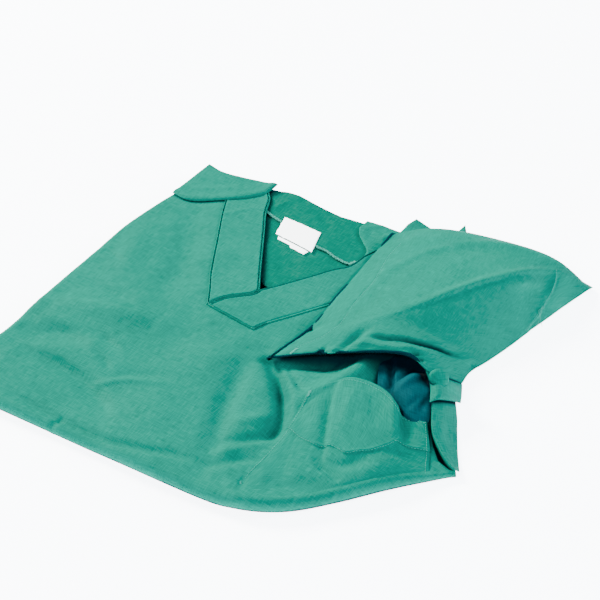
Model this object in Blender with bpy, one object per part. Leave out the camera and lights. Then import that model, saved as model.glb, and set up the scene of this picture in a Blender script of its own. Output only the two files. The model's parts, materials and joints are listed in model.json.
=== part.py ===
"""Folded surgical tunic: short sleeves, V neck with a wide flat band, one chest pocket.

It lies front up on a table. The wearer's down is -Y and the wearer's left is +X. The lower half
and the wearer's right side are folded under, and the left sleeve is folded over the chest, where
it stands up as an arch. All lengths are in metres, and the floor is z = 0.
"""

import bpy
import numpy as np
from mathutils import Vector
from mathutils.geometry import delaunay_2d_cdt

MM = 0.001

# Cloth walls and the gap that neighbours keep
WALL = 1.5 * MM
BAND_WALL = 1.2 * MM
SLEEVE_WALL = 2.2 * MM
SIDE_WALL = 1.6 * MM
LABEL_WALL = 1.0 * MM
GAP = 0.3 * MM

# The folded stack: its height, and where it thins towards the corner by the pocket
STACK = 15 * MM
CORNER_STACK = 6.0 * MM
CORNER = (0.240, -0.084)
CORNER_REACH = 0.075
LIP_TURNS = tuple(np.radians((0, 35, 70, 105, 138)))
FILL_TURN = np.radians(152)
ROLL_STEP = 0.015
CURVE_STEP = 0.003
NECK_RECESS = 3.0 * MM
LAYER_LOBES = 3
LAYER_SWELL = 1.3 * MM

# Outer line of the folds that the front panel rolls round: right shoulder, side, hem end, corner
FOLD_LINE = (
    (-0.2205, 0.1960), (-0.2210, 0.1650), (-0.2235, 0.1380), (-0.2285, 0.1120), (-0.2325, 0.0850),
    (-0.2345, 0.0550), (-0.2345, -0.0300),
    (-0.2345, -0.120), (-0.2340, -0.205), (-0.2270, -0.225), (-0.2080, -0.2315), (-0.120, -0.2310),
    (0.0400, -0.2290), (0.0900, -0.2230), (0.1300, -0.2040), (0.1640, -0.1710), (0.1920, -0.1380),
    (0.2140, -0.1120), (0.2320, -0.0915), (0.2400, -0.0845),
)
# Edge that the folds leave open: up the left side under the sleeve, and along the back of the neck
OPEN_SIDE = (
    (0.2250, -0.0790), (0.2120, -0.0640), (0.1980, -0.0480), (0.1820, -0.0240), (0.1620, 0.0100),
    (0.1480, 0.0500), (0.1480, 0.1200), (0.1560, 0.1800), (0.1480, 0.2050), (0.0700, 0.2090),
    (0.0360, 0.2120), (0.0300, 0.2000), (0.0070, 0.2000), (-0.0220, 0.1980), (-0.0410, 0.1960),
    (-0.0700, 0.2000), (-0.1020, 0.2070), (-0.1270, 0.2030), (-0.1500, 0.2000), (-0.1730, 0.1960),
    (-0.1970, 0.1935),
)
# V neck: down the wearer's right side of the opening, up the left one, and round the shoulder seam
NECK_RIGHT = (
    (-0.1300, 0.1880), (-0.1220, 0.1780), (-0.1120, 0.1540), (-0.0620, 0.0640), (-0.0470, 0.0380),
)
NECK_LEFT = (
    (-0.0310, 0.059), (-0.0120, 0.084), (0.0010, 0.104), (0.0120, 0.118), (0.0170, 0.140),
    (0.0150, 0.152), (0.0040, 0.163), (-0.0060, 0.173), (-0.0120, 0.184),
)
NECK_BACK = ((-0.0160, 0.2150), (-0.0700, 0.2200), (-0.1300, 0.2200), (-0.1340, 0.1960))
# Outer edges of the two halves of the neck band
BAND_RIGHT_OUT = (
    (-0.1390, 0.1930), (-0.1710, 0.1640), (-0.1525, 0.1250), (-0.1075, 0.0360), (-0.0800, -0.0110),
    (-0.0485, -0.0154),
)
BAND_POINT = (-0.0190, -0.0193)
BAND_LEFT_OUT = (
    (-0.0110, -0.0010), (0.0250, 0.0500), (0.0600, 0.1000), (0.0640, 0.1400), (0.0500, 0.1750),
)
BAND_TOP = (0.0300, 0.1700)
BAND_ROWS = 6
MITRE_GAP = (0.0008, -0.0003)
# Inside of the back: the facing, the cloth below it, and where the stack sinks below the opening
FACING = (
    (-0.1420, 0.1560), (-0.1154, 0.1583), (-0.0934, 0.1521), (-0.0358, 0.1321), (-0.0097, 0.1275),
    (0.0250, 0.1330), (0.0330, 0.1600), (0.0120, 0.1780), (-0.0060, 0.1945), (-0.0410, 0.1925),
    (-0.0700, 0.1965), (-0.1020, 0.2035), (-0.1250, 0.1990), (-0.1420, 0.1800),
)
FACING_SHOULDER = 5
INSIDE_BACK = (
    (-0.1400, 0.1520), (-0.0900, 0.0200), (-0.0450, 0.0080), (0.0350, 0.0900), (0.0330, 0.1280),
)
RECESS_CENTRE = (-0.055, 0.110)
RECESS_HALF = (0.118, 0.124)
# Labels sewn to the facing, the larger above the smaller
CARE_LABEL = ((-0.0914, 0.1593), (-0.0429, 0.1545), (-0.0340, 0.1200), (-0.0845, 0.1290))
SIZE_LABEL = (
    (-0.0800, 0.1270), (-0.0380, 0.1195), (-0.0400, 0.1130), (-0.0590, 0.1165), (-0.0600, 0.1190),
    (-0.0780, 0.1225),
)
# Shoulders turned over behind the neck, and how far their outer sides are above the front
SHOULDER_RIGHT = (
    (-0.2215, 0.1310), (-0.1990, 0.1285), (-0.1760, 0.1420), (-0.1540, 0.1580), (-0.1410, 0.1700),
    (-0.1340, 0.1790), (-0.1295, 0.1900), (-0.1270, 0.2025), (-0.1500, 0.2010), (-0.1730, 0.1970),
    (-0.1970, 0.1945), (-0.2180, 0.2000), (-0.2195, 0.1660),
)
SHOULDER_LEFT = (
    (0.0300, 0.1960), (0.0320, 0.2120), (0.0370, 0.2230), (0.0710, 0.2180), (0.0820, 0.2260),
    (0.0865, 0.2420), (0.0930, 0.2330), (0.0950, 0.2200), (0.0950, 0.1900), (0.0600, 0.1860),
)
RIGHT_SHOULDER_LIFT = 3.6 * MM
LEFT_SHOULDER_LIFT = 1.9 * MM

# Soft folds of the front: start, end, height (a trough is negative) and half width
FRONT_FOLDS = (
    # x0, y0, x1, y1, height, width
    (-0.186, -0.123, -0.085, -0.172, -0.0024, 0.010),
    (-0.160, -0.108, -0.100, -0.160, 0.0016, 0.009),
    (-0.225, -0.080, -0.188, -0.096, -0.0026, 0.008),
    (0.010, -0.100, 0.052, -0.214, -0.0028, 0.012),
    (0.020, -0.050, 0.086, -0.146, -0.0030, 0.009),
    (0.052, -0.077, 0.080, -0.083, -0.0018, 0.006),
    (-0.190, 0.060, -0.150, 0.020, 0.0014, 0.016),
    (-0.040, -0.120, 0.000, -0.190, 0.0014, 0.018),
)

# Left sleeve, from its underarm edge to the fold behind it: hem, rise, crown, side and foot of each
SLEEVE_SECTIONS = (
    # hem, rise, crown, side, foot: x, y, z of each in mm
    ((18, -48, 17.6), (63, -24, 25.5), (134, 3, 38.0), (168, 4, 28), (190, 28, 4)),
    ((28, -6, 18.8), (58, 0, 28.5), (98, 27, 40.5), (150, 34, 33), (189, 48, 3)),
    ((31, 22, 19.3), (64, 28, 31.0), (110, 50, 44.0), (158, 60, 29), (197, 72, 3)),
    ((28, 62, 19.4), (68, 68, 32.5), (126, 79, 46.0), (173, 94, 29), (206, 104, 3)),
    ((28, 100, 19.6), (75, 106, 34.5), (142, 111, 45.5), (185, 125, 29), (213, 134, 3)),
    ((27, 138, 20.2), (82, 146, 36.0), (160, 141, 43.5), (198, 156, 27), (221, 163, 3)),
    ((27, 164, 21.2), (79, 181, 34.0), (178, 172, 41.0), (211, 184, 25), (228, 190, 3)),
    ((27, 182, 22.2), (72, 209, 28.5), (149, 222, 31.5), (203, 225, 26), (238, 218, 7)),
    ((30, 186, 20.8), (79, 216, 25.5), (152, 239, 3.0), (203, 241, 3), (240, 232, 3)),
)
# Underarm: its seam follows the sleeve's edge from this x on, and its sections run on from there to
# the edge over the side: tunnel edge, top, side and foot of each
UNDERARM_START = 0.160
UNDERARM_GAP = 0.4 * MM
UNDERARM_SECTIONS = (
    ((171.0, -7.0, 25.0), (178.0, -1.0, 29.5), (187.5, 10.0, 17.5), (194.5, 19.0, 3.0)),
    ((177.0, -16.0, 24.0), (184.0, -10.5, 26.5), (192.0, 2.0, 16.0), (198.0, 11.0, 3.0)),
    ((184.0, -31.0, 24.5), (189.0, -23.0, 24.0), (195.5, -9.0, 14.5), (200.5, 4.0, 3.0)),
)
# Left side of the body, from under the underarm to the corner of the stack: free edge, middle, foot
SIDE_SECTIONS = (
    ((184.0, -26.0, 21.6), (191.0, -14.5, 14.5), (197.0, 1.0, 2.6)),
    ((198.0, -52.0, 18.5), (202.5, -36.0, 12.5), (207.5, -17.0, 2.4)),
    ((208.0, -63.0, 14.5), (211.5, -48.0, 9.6), (214.5, -31.0, 2.4)),
    ((225.0, -76.0, 10.4), (226.0, -67.0, 6.4), (227.5, -56.0, 2.2)),
    ((238.0, -82.5, 8.4), (238.8, -80.0, 5.4), (239.6, -77.0, 2.2)),
)
# Chest pocket from its mouth down: x and y in mm and height above the front, left to right
POCKET_SECTIONS = (
    ((78, -73, 1.8), (100, -43, 12.5), (134, -40, 14.5), (166, -54, 10.5), (199, -66, 1.9)),
    ((84, -120, 1.8), (112, -126, 3.4), (147, -125, 6.0), (177, -95, 7.0), (206, -79, 2.0)),
    ((85, -160, 1.8), (112, -165, 2.8), (146, -158, 3.2), (180, -128, 3.0), (215, -92, 1.9)),
    ((82, -200, 1.8), (101, -208, 1.8), (131, -192, 1.8), (161, -161, 1.8), (220, -97, 1.8)),
)

# Mesh sizes: a lattice step for each kind of piece
FRONT_STEP = 0.0165
BACK_STEP = 0.0150
BAND_STEP = 0.0130
SMALL_STEP = 0.0110

CLOTH_GREEN = (0.085, 0.50, 0.37, 1)
INSIDE_GREEN = (0.05, 0.36, 0.28, 1)
BAND_GREEN = (0.09, 0.53, 0.40, 1)
LABEL_WHITE = (0.90, 0.90, 0.90, 1)


def clear_scene():
    for obj in list(bpy.data.objects):
        bpy.data.objects.remove(obj, do_unlink=True)


def cloth_material(name, colour, roughness=0.85):
    material = bpy.data.materials.new(name)
    material.use_nodes = True
    shader = material.node_tree.nodes["Principled BSDF"]
    shader.inputs["Base Color"].default_value = colour
    shader.inputs["Roughness"].default_value = roughness
    shader.inputs["Metallic"].default_value = 0.0
    return material


def smooth_step(t):
    t = np.clip(t, 0.0, 1.0)
    return t * t * (3 - 2 * t)


def catmull_rom(points, count):
    """A smooth open curve of count points through the given ones, in any number of dimensions."""
    pts = np.asarray(points, float)
    ends = np.concatenate([[2 * pts[0] - pts[1]], pts, [2 * pts[-1] - pts[-2]]])
    spans = len(pts) - 1
    at = np.linspace(0, spans, count)
    k = np.minimum(at.astype(int), spans - 1)
    t = (at - k).reshape((-1,) + (1,) * (pts.ndim - 1))
    a, b, c, d = ends[k], ends[k + 1], ends[k + 2], ends[k + 3]
    slope = c - a
    bow = 2 * a - 5 * b + 4 * c - d
    twist = 3 * b - a - 3 * c + d
    return 0.5 * (2 * b + slope * t + bow * t ** 2 + twist * t ** 3)


def resampled(points, step, closed=True):
    """The polyline's points spread evenly, about a step apart, with its own corners kept."""
    pts = np.asarray(points, float)
    out = []
    last = len(pts) if closed else len(pts) - 1
    for i in range(last):
        a, b = pts[i], pts[(i + 1) % len(pts)]
        pieces = max(1, int(round(np.linalg.norm(b - a) / step)))
        out.extend(a + (b - a) * j / pieces for j in range(pieces))
    if not closed:
        out.append(pts[-1])
    return np.array(out)


def inside(points, polygon):
    x, y = points[:, 0], points[:, 1]
    found = np.zeros(len(points), bool)
    a = polygon
    b = np.roll(polygon, -1, axis=0)
    for (ax, ay), (bx, by) in zip(a, b):
        crosses = (ay > y) != (by > y)
        with np.errstate(divide="ignore", invalid="ignore"):
            at = ax + (y - ay) * (bx - ax) / (by - ay)
        found ^= crosses & (x < at)
    return found


def nearest_on(points, line):
    """For each point: its distance to the polyline, the nearest place on it, and the way along it there."""
    a, b = line[:-1], line[1:]
    along = b - a
    span = (along ** 2).sum(1)
    t = ((points[:, None, :] - a) * along).sum(2) / span
    place = a + np.clip(t, 0, 1)[:, :, None] * along
    far = np.linalg.norm(points[:, None, :] - place, axis=2)
    best = far.argmin(1)
    row = np.arange(len(points))
    way = along[best] / np.sqrt(span[best])[:, None]
    return far[row, best], place[row, best], way


def evenly(line, step):
    """The same line with its points spread evenly, about a step apart."""
    at = np.concatenate([[0], np.cumsum(np.linalg.norm(np.diff(line, axis=0), axis=1))])
    place = np.linspace(0, at[-1], int(round(at[-1] / step)) + 1)
    return np.stack([np.interp(place, at, line[:, k]) for k in range(line.shape[1])], axis=1)


FOLD_CURVE = evenly(catmull_rom(FOLD_LINE, 400), CURVE_STEP)
FOLD_WAY = np.gradient(FOLD_CURVE, axis=0)
FOLD_INWARD = np.stack([-FOLD_WAY[:, 1], FOLD_WAY[:, 0]], axis=1)
FOLD_INWARD /= np.linalg.norm(FOLD_INWARD, axis=1)[:, None]


def stack_height(points):
    away = np.hypot(points[:, 0] - CORNER[0], points[:, 1] - CORNER[1])
    return CORNER_STACK + (STACK - CORNER_STACK) * smooth_step(away / CORNER_REACH)


def front_height(points):
    """Height of the front panel's outer side where it lies flat on the stack."""
    z = stack_height(points)
    for x0, y0, x1, y1, height, width in FRONT_FOLDS:
        line = np.array([(x0, y0), (x1, y1)])
        far, place, _ = nearest_on(points, line)
        t = np.linalg.norm(place - line[0], axis=1) / np.linalg.norm(line[1] - line[0])
        z = z + height * np.exp(-(far / width) ** 2) * (0.35 + 0.65 * np.sin(np.pi * np.clip(t, 0, 1)))
    return z


def roll_frame(points):
    """Where each point is against the folds: the roll's centre line, the way in, radius and turn."""
    far, place, _ = nearest_on(points, FOLD_CURVE)
    at = np.linalg.norm(place[:, None, :] - FOLD_CURVE, axis=2).argmin(1)
    inward = FOLD_INWARD[at]
    side = np.where(((points - place) * inward).sum(1) < 0, -1, 1)
    radius = stack_height(place) / 2
    turn = np.clip((radius - far * side) / radius, 0, FILL_TURN)
    return place + inward * radius[:, None], inward, radius, turn


def rolled(points, depth):
    """The front's surface, sunk by depth: flat on the stack, then round the outer folds."""
    depth = np.broadcast_to(depth, len(points)).astype(float)
    centre, inward, radius, turn = roll_frame(points)
    out = np.column_stack([points, front_height(points) - depth])
    bent = turn > 0
    reach = radius - depth
    out[bent, :2] = (centre - inward * (reach * np.sin(turn))[:, None])[bent]
    rise = front_height(centre) - 2 * radius
    out[bent, 2] = (radius + reach * np.cos(turn) + rise * 0.5 * (1 + np.cos(turn)))[bent]
    return out


def roll_rows(turns):
    """Rows of points along the folds, in the flat, one for each turn round the roll."""
    every = int(round(ROLL_STEP / CURVE_STEP))
    pick = np.unique(np.append(np.arange(0, len(FOLD_CURVE), every), len(FOLD_CURVE) - 1))
    line, inward = FOLD_CURVE[pick], FOLD_INWARD[pick]
    radius = stack_height(line)[:, None] / 2
    return [line - inward * radius * (turn - 1) for turn in turns]


def rolled_outline(turns):
    """The cloth's flat outline, its outer row at the last turn, and the points of the rows within."""
    rows = roll_rows(turns)
    outer = rows[-1]
    ends = [row[-1] for row in rows[-2::-1]]
    starts = [row[0] for row in rows[:-1]]
    open_side = resampled(OPEN_SIDE, FRONT_STEP, closed=False)
    outline = np.vstack([outer, ends, open_side, starts])
    within = np.vstack([row[1:-1] for row in rows[:-1]])
    return outline, within


def triangulate(outline, step, within=()):
    """Triangles that fill a flat outline, with the given points and a lattice inside it."""
    ring = np.asarray(outline)
    fixed = np.asarray(within, float).reshape(-1, 2)
    low, high = ring.min(0), ring.max(0)
    across = np.arange(np.floor(low[0] / step), np.ceil(high[0] / step) + 1)
    up = np.arange(np.floor(low[1] / step), np.ceil(high[1] / step) + 1)
    lattice = np.array([((i + (j % 2) / 2) * step, j * step) for j in up for i in across])
    keep = inside(lattice, ring)
    keep &= nearest_on(lattice, np.vstack([ring, ring[:1]]))[0] > 0.5 * step
    if len(fixed):
        keep &= np.linalg.norm(lattice[:, None, :] - fixed, axis=2).min(1) > 0.5 * step
        keep &= roll_frame(lattice)[3] <= 0
    points = [Vector(p) for p in np.vstack([ring, fixed, lattice[keep]])]
    edges = [(i, (i + 1) % len(ring)) for i in range(len(ring))]
    verts, _, faces, _, _, _ = delaunay_2d_cdt(points, edges, [], 0, 1e-7)
    flat = np.array([(v.x, v.y) for v in verts])
    tris = np.array([f for f in faces])
    tris = tris[inside(flat[tris].mean(1), ring)]
    a, b, c = flat[tris[:, 0]], flat[tris[:, 1]], flat[tris[:, 2]]
    turned = (b[:, 0] - a[:, 0]) * (c[:, 1] - a[:, 1]) - (b[:, 1] - a[:, 1]) * (c[:, 0] - a[:, 0]) < 0
    tris[turned] = tris[turned][:, ::-1]
    used = np.unique(tris)
    index = np.full(len(flat), -1)
    index[used] = np.arange(len(used))
    return flat[used], index[tris]


def link(name, vertices, faces, material):
    mesh = bpy.data.meshes.new(name)
    mesh.from_pydata([tuple(v) for v in vertices], [], [tuple(int(i) for i in f) for f in faces])
    mesh.materials.append(material)
    mesh.validate()
    mesh.shade_smooth()
    mesh.set_sharp_from_angle(angle=np.radians(40))
    obj = bpy.data.objects.new(name, mesh)
    bpy.context.scene.collection.children["Tunic"].objects.link(obj)
    return obj


def closed_shell(name, flat, tris, top, under, material, lobes=0):
    """One closed body from an upper and an under side with the same triangles, joined round the rim."""
    n = len(flat)
    directed = np.concatenate([tris[:, [0, 1]], tris[:, [1, 2]], tris[:, [2, 0]]])
    known = {(int(a), int(b)) for a, b in directed}
    rim = [(a, b) for a, b in known if (b, a) not in known]
    after = dict(rim)
    vertices = [top, under]
    faces = [tuple(t) for t in tris] + [tuple(t[::-1] + n) for t in tris]
    levels = [lambda i: i]
    if lobes:
        steps = 4 * lobes
        for k in range(1, steps):
            share = k / steps
            ring = top + (under - top) * share
            tall = np.clip((top[:, 2] - under[:, 2]) / STACK, 0, 1)
            swell = LAYER_SWELL * np.sin(np.pi * share * lobes) ** 2 * smooth_step(2 * tall - 0.6)
            before = {b: a for a, b in rim}
            for i in after:
                way = flat[after[i]] - flat[before[i]]
                way = way / np.linalg.norm(way)
                ring[i, 0] += way[1] * swell[i]
                ring[i, 1] -= way[0] * swell[i]
            vertices.append(ring)
            levels.append(lambda i, k=k: i + (k + 1) * n)
    levels.append(lambda i: i + n)
    for a, b in sorted(rim):
        for upper, lower in zip(levels, levels[1:]):
            faces.append((upper(b), upper(a), lower(a), lower(b)))
    points = np.vstack(vertices)
    used = np.unique(np.concatenate([np.asarray(f) for f in faces]))
    index = np.full(len(points), -1)
    index[used] = np.arange(len(used))
    return link(name, points[used], [index[list(f)] for f in faces], material)


def flat_piece(name, outline, step, lift, wall, material):
    """A piece that lies on the front's surface: lift is the height of its outer side above it."""
    flat, tris = triangulate(resampled(outline, step), step)
    top = np.column_stack([flat, resting_height(flat) + lift])
    under = top - (0, 0, wall)
    return closed_shell(name, flat, tris, top, under, material)


def dense_rows(sections, around):
    """Each section, given in mm, as a smooth row of points in metres."""
    return [catmull_rom(np.asarray(section, float) * MM, around) for section in sections]


def lofted(name, rows, along, wall, material, on_front=False):
    """A cloth wall through rows of points, smooth both ways."""
    grid = catmull_rom(np.stack(rows), along)
    around = grid.shape[1]
    top = grid.reshape(-1, 3)
    if on_front:
        top[:, 2] += resting_height(top[:, :2])
    top[:, 2] = np.maximum(top[:, 2], wall)
    tris = []
    for r in range(along - 1):
        for c in range(around - 1):
            a = r * around + c
            tris.append((a, a + 1, a + around + 1))
            tris.append((a, a + around + 1, a + around))
    tris = np.array(tris)
    a, b, c = (top[tris[:, i], :2] for i in range(3))
    area = (b[:, 0] - a[:, 0]) * (c[:, 1] - a[:, 1]) - (b[:, 1] - a[:, 1]) * (c[:, 0] - a[:, 0])
    if area.sum() < 0:
        tris = tris[:, ::-1]
    return closed_shell(name, top[:, :2], tris, top, top - (0, 0, wall), material)


def resting_height(points):
    """Height that a piece laid on the front rests at: it bridges the troughs."""
    return np.maximum(front_height(points), stack_height(points))


def recess(points):
    """Share of the neck recess: 1 under the open neck, 0 away from it."""
    x = np.abs(points[:, 0] - RECESS_CENTRE[0]) / RECESS_HALF[0]
    y = np.abs(points[:, 1] - RECESS_CENTRE[1]) / RECESS_HALF[1]
    return 1 - smooth_step((np.maximum(x, y) - 0.90) / 0.09)


def front_panel(material):
    outline, within = rolled_outline(LIP_TURNS)
    outline = cut_neck(outline, np.vstack([NECK_RIGHT, NECK_LEFT]))
    flat, tris = triangulate(outline, FRONT_STEP, within)
    return closed_shell("front_panel", flat, tris, rolled(flat, 0.0), rolled(flat, WALL), material)


def cut_neck(outline, neck):
    """The panel's outline with the V neck let into its upper edge."""
    opening = np.vstack([neck, NECK_BACK])
    kept = ~inside(outline, opening)
    first = int(np.flatnonzero(~kept)[0])
    last = int(np.flatnonzero(~kept)[-1])
    return np.vstack([outline[:first], resampled(neck[::-1], FRONT_STEP, closed=False), outline[last + 1:]])


def hidden_layers(material):
    """Everything folded under: one rounded solid, flat below, with its layers showing at the open edges."""
    outline, within = rolled_outline(LIP_TURNS + (FILL_TURN,))
    flat, tris = triangulate(outline, FRONT_STEP, within)
    top = rolled(flat, WALL + GAP + NECK_RECESS * recess(flat))
    centre, inward, radius, turn = roll_frame(flat)
    under = np.column_stack([flat, np.zeros(len(flat))])
    bent = turn > 0
    tuck = (radius - WALL - GAP) * np.sin(FILL_TURN) * turn / FILL_TURN
    under[bent, :2] = (centre - inward * tuck[:, None])[bent]
    return closed_shell("hidden_layers", flat, tris, top, under, material, LAYER_LOBES)


def neck_bands(material):
    right = list(NECK_RIGHT) + [BAND_POINT] + list(BAND_RIGHT_OUT[::-1])
    step = np.array(MITRE_GAP)
    left = [NECK_RIGHT[-1] + step] + list(NECK_LEFT[:BAND_ROWS])
    left += [BAND_TOP] + list(BAND_LEFT_OUT[::-1]) + [BAND_POINT + step]
    flat_piece("neck_band_right", right, BAND_STEP, GAP + BAND_WALL, BAND_WALL, material)
    flat_piece("neck_band_left", left, BAND_STEP, GAP + BAND_WALL, BAND_WALL, material)


def inside_of_back(material, facing_material, label_material):
    facing_lift = -(WALL + GAP)
    back_lift = facing_lift - (BAND_WALL + GAP)
    upper_edge = list(FACING[FACING_SHOULDER:])
    flat_piece("back_panel", list(INSIDE_BACK) + upper_edge, BACK_STEP, back_lift, BAND_WALL, material)
    flat_piece("back_neck_facing", FACING, BAND_STEP, facing_lift, BAND_WALL, facing_material)
    flat_piece("care_label", CARE_LABEL, SMALL_STEP, LABEL_WALL - WALL, LABEL_WALL, label_material)
    flat_piece("size_label", SIZE_LABEL, SMALL_STEP, facing_lift, LABEL_WALL, label_material)


def shoulders(material):
    flat_piece("right_shoulder", SHOULDER_RIGHT, BAND_STEP, RIGHT_SHOULDER_LIFT, WALL, material)
    flat_piece("left_shoulder", SHOULDER_LEFT, BAND_STEP, LEFT_SHOULDER_LIFT, WALL, material)


def left_sleeve_and_side(material):
    sleeve = dense_rows(SLEEVE_SECTIONS, 25)
    lofted("left_sleeve", sleeve, 25, SLEEVE_WALL, material)
    edge = sleeve[0][sleeve[0][:, 0] > UNDERARM_START]
    seam = edge + np.array([0.8, -0.6, -0.2]) * UNDERARM_GAP
    underarm = [seam] + dense_rows(UNDERARM_SECTIONS, len(seam))
    lofted("left_underarm", underarm, 10, SIDE_WALL, material)
    lofted("left_side", dense_rows(SIDE_SECTIONS, 7), 13, SIDE_WALL, material)


def chest_pocket(material):
    lofted("chest_pocket", dense_rows(POCKET_SECTIONS, 17), 15, BAND_WALL, material, on_front=True)


def centre_on_floor():
    """Moves every piece so that the origin is below the middle of them all."""
    pieces = list(bpy.context.scene.collection.children["Tunic"].objects)
    corners = np.array([v.co[:] for obj in pieces for v in obj.data.vertices])
    low, high = corners.min(0), corners.max(0)
    shift = Vector((-(low[0] + high[0]) / 2, -(low[1] + high[1]) / 2, -low[2]))
    for obj in pieces:
        for vertex in obj.data.vertices:
            vertex.co += shift


def main():
    clear_scene()
    bpy.context.scene.collection.children.link(bpy.data.collections.new("Tunic"))
    outside = cloth_material("poplin_outside", CLOTH_GREEN)
    within = cloth_material("poplin_inside", INSIDE_GREEN)
    band = cloth_material("poplin_band", BAND_GREEN)
    label = cloth_material("label_satin", LABEL_WHITE, 0.6)
    hidden_layers(outside)
    front_panel(outside)
    neck_bands(band)
    inside_of_back(within, within, label)
    shoulders(outside)
    left_sleeve_and_side(outside)
    chest_pocket(outside)
    centre_on_floor()


main()
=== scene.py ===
"""Looks of a folded surgical tunic in green poplin, laid over its solids.

The tunic lies front up: +X is the wearer's left and +Y runs up the body. The lower half and the
wearer's right side are folded under, and the left sleeve is turned over the chest as an arch. Places
in the tables are in millimetres from the middle of the chest, and CENTRING moves them to where the
solids stand.
"""

import json
import math

import bpy
import numpy as np
from mathutils import Matrix, Vector
from mathutils.bvhtree import BVHTree
from mathutils.geometry import delaunay_2d_cdt

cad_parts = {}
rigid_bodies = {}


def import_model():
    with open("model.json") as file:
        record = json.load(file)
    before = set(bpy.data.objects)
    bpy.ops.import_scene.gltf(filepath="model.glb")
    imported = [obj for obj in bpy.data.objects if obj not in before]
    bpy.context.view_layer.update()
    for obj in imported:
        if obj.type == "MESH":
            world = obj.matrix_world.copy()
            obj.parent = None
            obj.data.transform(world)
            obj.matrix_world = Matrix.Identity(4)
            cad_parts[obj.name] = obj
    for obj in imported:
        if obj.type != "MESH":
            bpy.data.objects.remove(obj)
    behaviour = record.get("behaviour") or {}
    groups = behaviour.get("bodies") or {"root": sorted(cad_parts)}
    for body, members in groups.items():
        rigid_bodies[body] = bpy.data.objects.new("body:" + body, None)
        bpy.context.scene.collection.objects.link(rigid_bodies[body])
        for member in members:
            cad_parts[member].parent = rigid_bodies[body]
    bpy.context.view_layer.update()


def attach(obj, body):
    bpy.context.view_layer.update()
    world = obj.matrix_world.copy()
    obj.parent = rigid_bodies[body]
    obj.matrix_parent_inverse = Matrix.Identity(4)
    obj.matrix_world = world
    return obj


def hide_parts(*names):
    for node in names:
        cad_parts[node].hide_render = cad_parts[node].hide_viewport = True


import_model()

bl_info = {
    "name": "Folded surgical tunic",
    "version": (1, 0, 0),
    "blender": (4, 5, 0),
    "location": "3D View > Sidebar > Tunic",
    "description": "Builds the cloth, sewing, labels and stage of a folded surgical tunic",
    "category": "Object",
}

MM = 0.001
CENTRING = Vector((-2.785 * MM, -5.173 * MM, 0))


def mm(*points):
    return np.array(points, float) * MM


def linear(hex_colour):
    """A colour of the form #RRGGBB, in sRGB, as linear red, green and blue."""
    parts = [int(hex_colour[i:i + 2], 16) / 255 for i in (1, 3, 5)]
    return tuple(c / 12.92 if c <= 0.04045 else ((c + 0.055) / 1.055) ** 2.4 for c in parts)


# The folded stack
STACK = 15 * MM
CORNER_STACK = 6 * MM
CORNER = mm((240, -84))[0]
CORNER_REACH = 75 * MM
LIP_TURNS = tuple(np.radians((0, 35, 70, 105, 138)))
FILL_TURN = np.radians(152)
ROLL_STEP = 9 * MM
CURVE_STEP = 3 * MM
LAYER_DROP = 1.8 * MM
NECK_RECESS = 3 * MM
LAYER_LOBES = 5
LAYER_SWELL = 1.1 * MM

FOLD_LINE = mm(
    (-220.5, 196), (-221, 165), (-223.5, 138), (-228.5, 112), (-232.5, 85), (-234.5, 55),
    (-234.5, -30), (-234.5, -120), (-234, -205), (-227, -225), (-208, -231.5), (-120, -231),
    (40, -229), (90, -223), (130, -204), (164, -171), (192, -138), (214, -112), (232, -91.5),
    (240, -84.5),
)
FRONT_EDGE = mm((232, -83.5), (219, -80), (207.5, -68), (195.5, -52), (182, -25), (162, 10))
LAYERS_EDGE = mm((238, -82), (232, -75), (219, -61), (204, -45), (184, -22), (162, 10))
OPEN_SIDE = mm(
    (148, 50), (148, 120), (156, 180), (148, 205), (70, 209), (36, 212), (30, 200), (7, 200),
    (-22, 198), (-41, 196), (-70, 200), (-102, 207), (-127, 203), (-150, 200), (-173, 196),
    (-197, 193.5),
)
GAP_DEPTH = 8 * MM
NECK_RIGHT = mm((-130, 188), (-122, 178), (-112, 154), (-98, 129), (-80, 96.5), (-62, 64), (-47, 38))
NECK_LEFT = mm(
    (-47, 38), (-31, 59), (-12, 84), (1, 104), (12, 118), (17, 140), (15, 152), (4, 163), (-6, 173),
    (-12, 184),
)
NECK_BACK = mm((-16, 215), (-70, 220), (-130, 220), (-134, 196))
BAND_OUT = mm(
    (-171, 164), (-164, 150), (-152.5, 125), (-130, 80.5), (-107.5, 36), (-93, 12), (-80, -11),
)
BAND_FOOT = mm((-80, -11), (-64, -13.5), (-48.5, -15.4), (-33, -17.5), (-19, -19.3))
BAND_LEFT_OUT = mm(
    (-19, -19.3), (-11, -1), (7, 24.5), (25, 50), (43, 75), (60, 100), (64, 140), (50, 175),
)
BAND_LEFT_TOP = mm((50, 175), (30, 170), (17, 140))
BAND_SHOULDER = mm((-139, 193), (-171, 164))
BAND_RIGHT_TOP = mm((-139, 193), (-130, 188))
MITRE = mm((-47, 38), (-50, 28), (-69.5, 8.5), (-79.5, -10.5))
MITRE_GAP = 0.35 * MM
FACING_TOP = mm(
    (33, 160), (12, 178), (-6, 194.5), (-41, 192.5), (-70, 196.5), (-102, 203.5), (-125, 199),
    (-142, 180),
)
FACING_EDGE = mm(
    (-142, 160), (-115.4, 158.3), (-93.4, 150.5), (-62, 141), (-35.8, 131), (-22, 129.5), (-8, 125),
    (8, 123), (14, 130), (25, 133), (33, 160),
)
BACK_EDGE = mm((35, 90), (-24, 54.5), (-66, 60.5), (-140, 152))
FACING_SIDE = mm((-142, 180), (-142, 160))
BACK_SIDES = (mm((-142, 180), (-140, 152)), mm((35, 90), (33, 160)))
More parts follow.
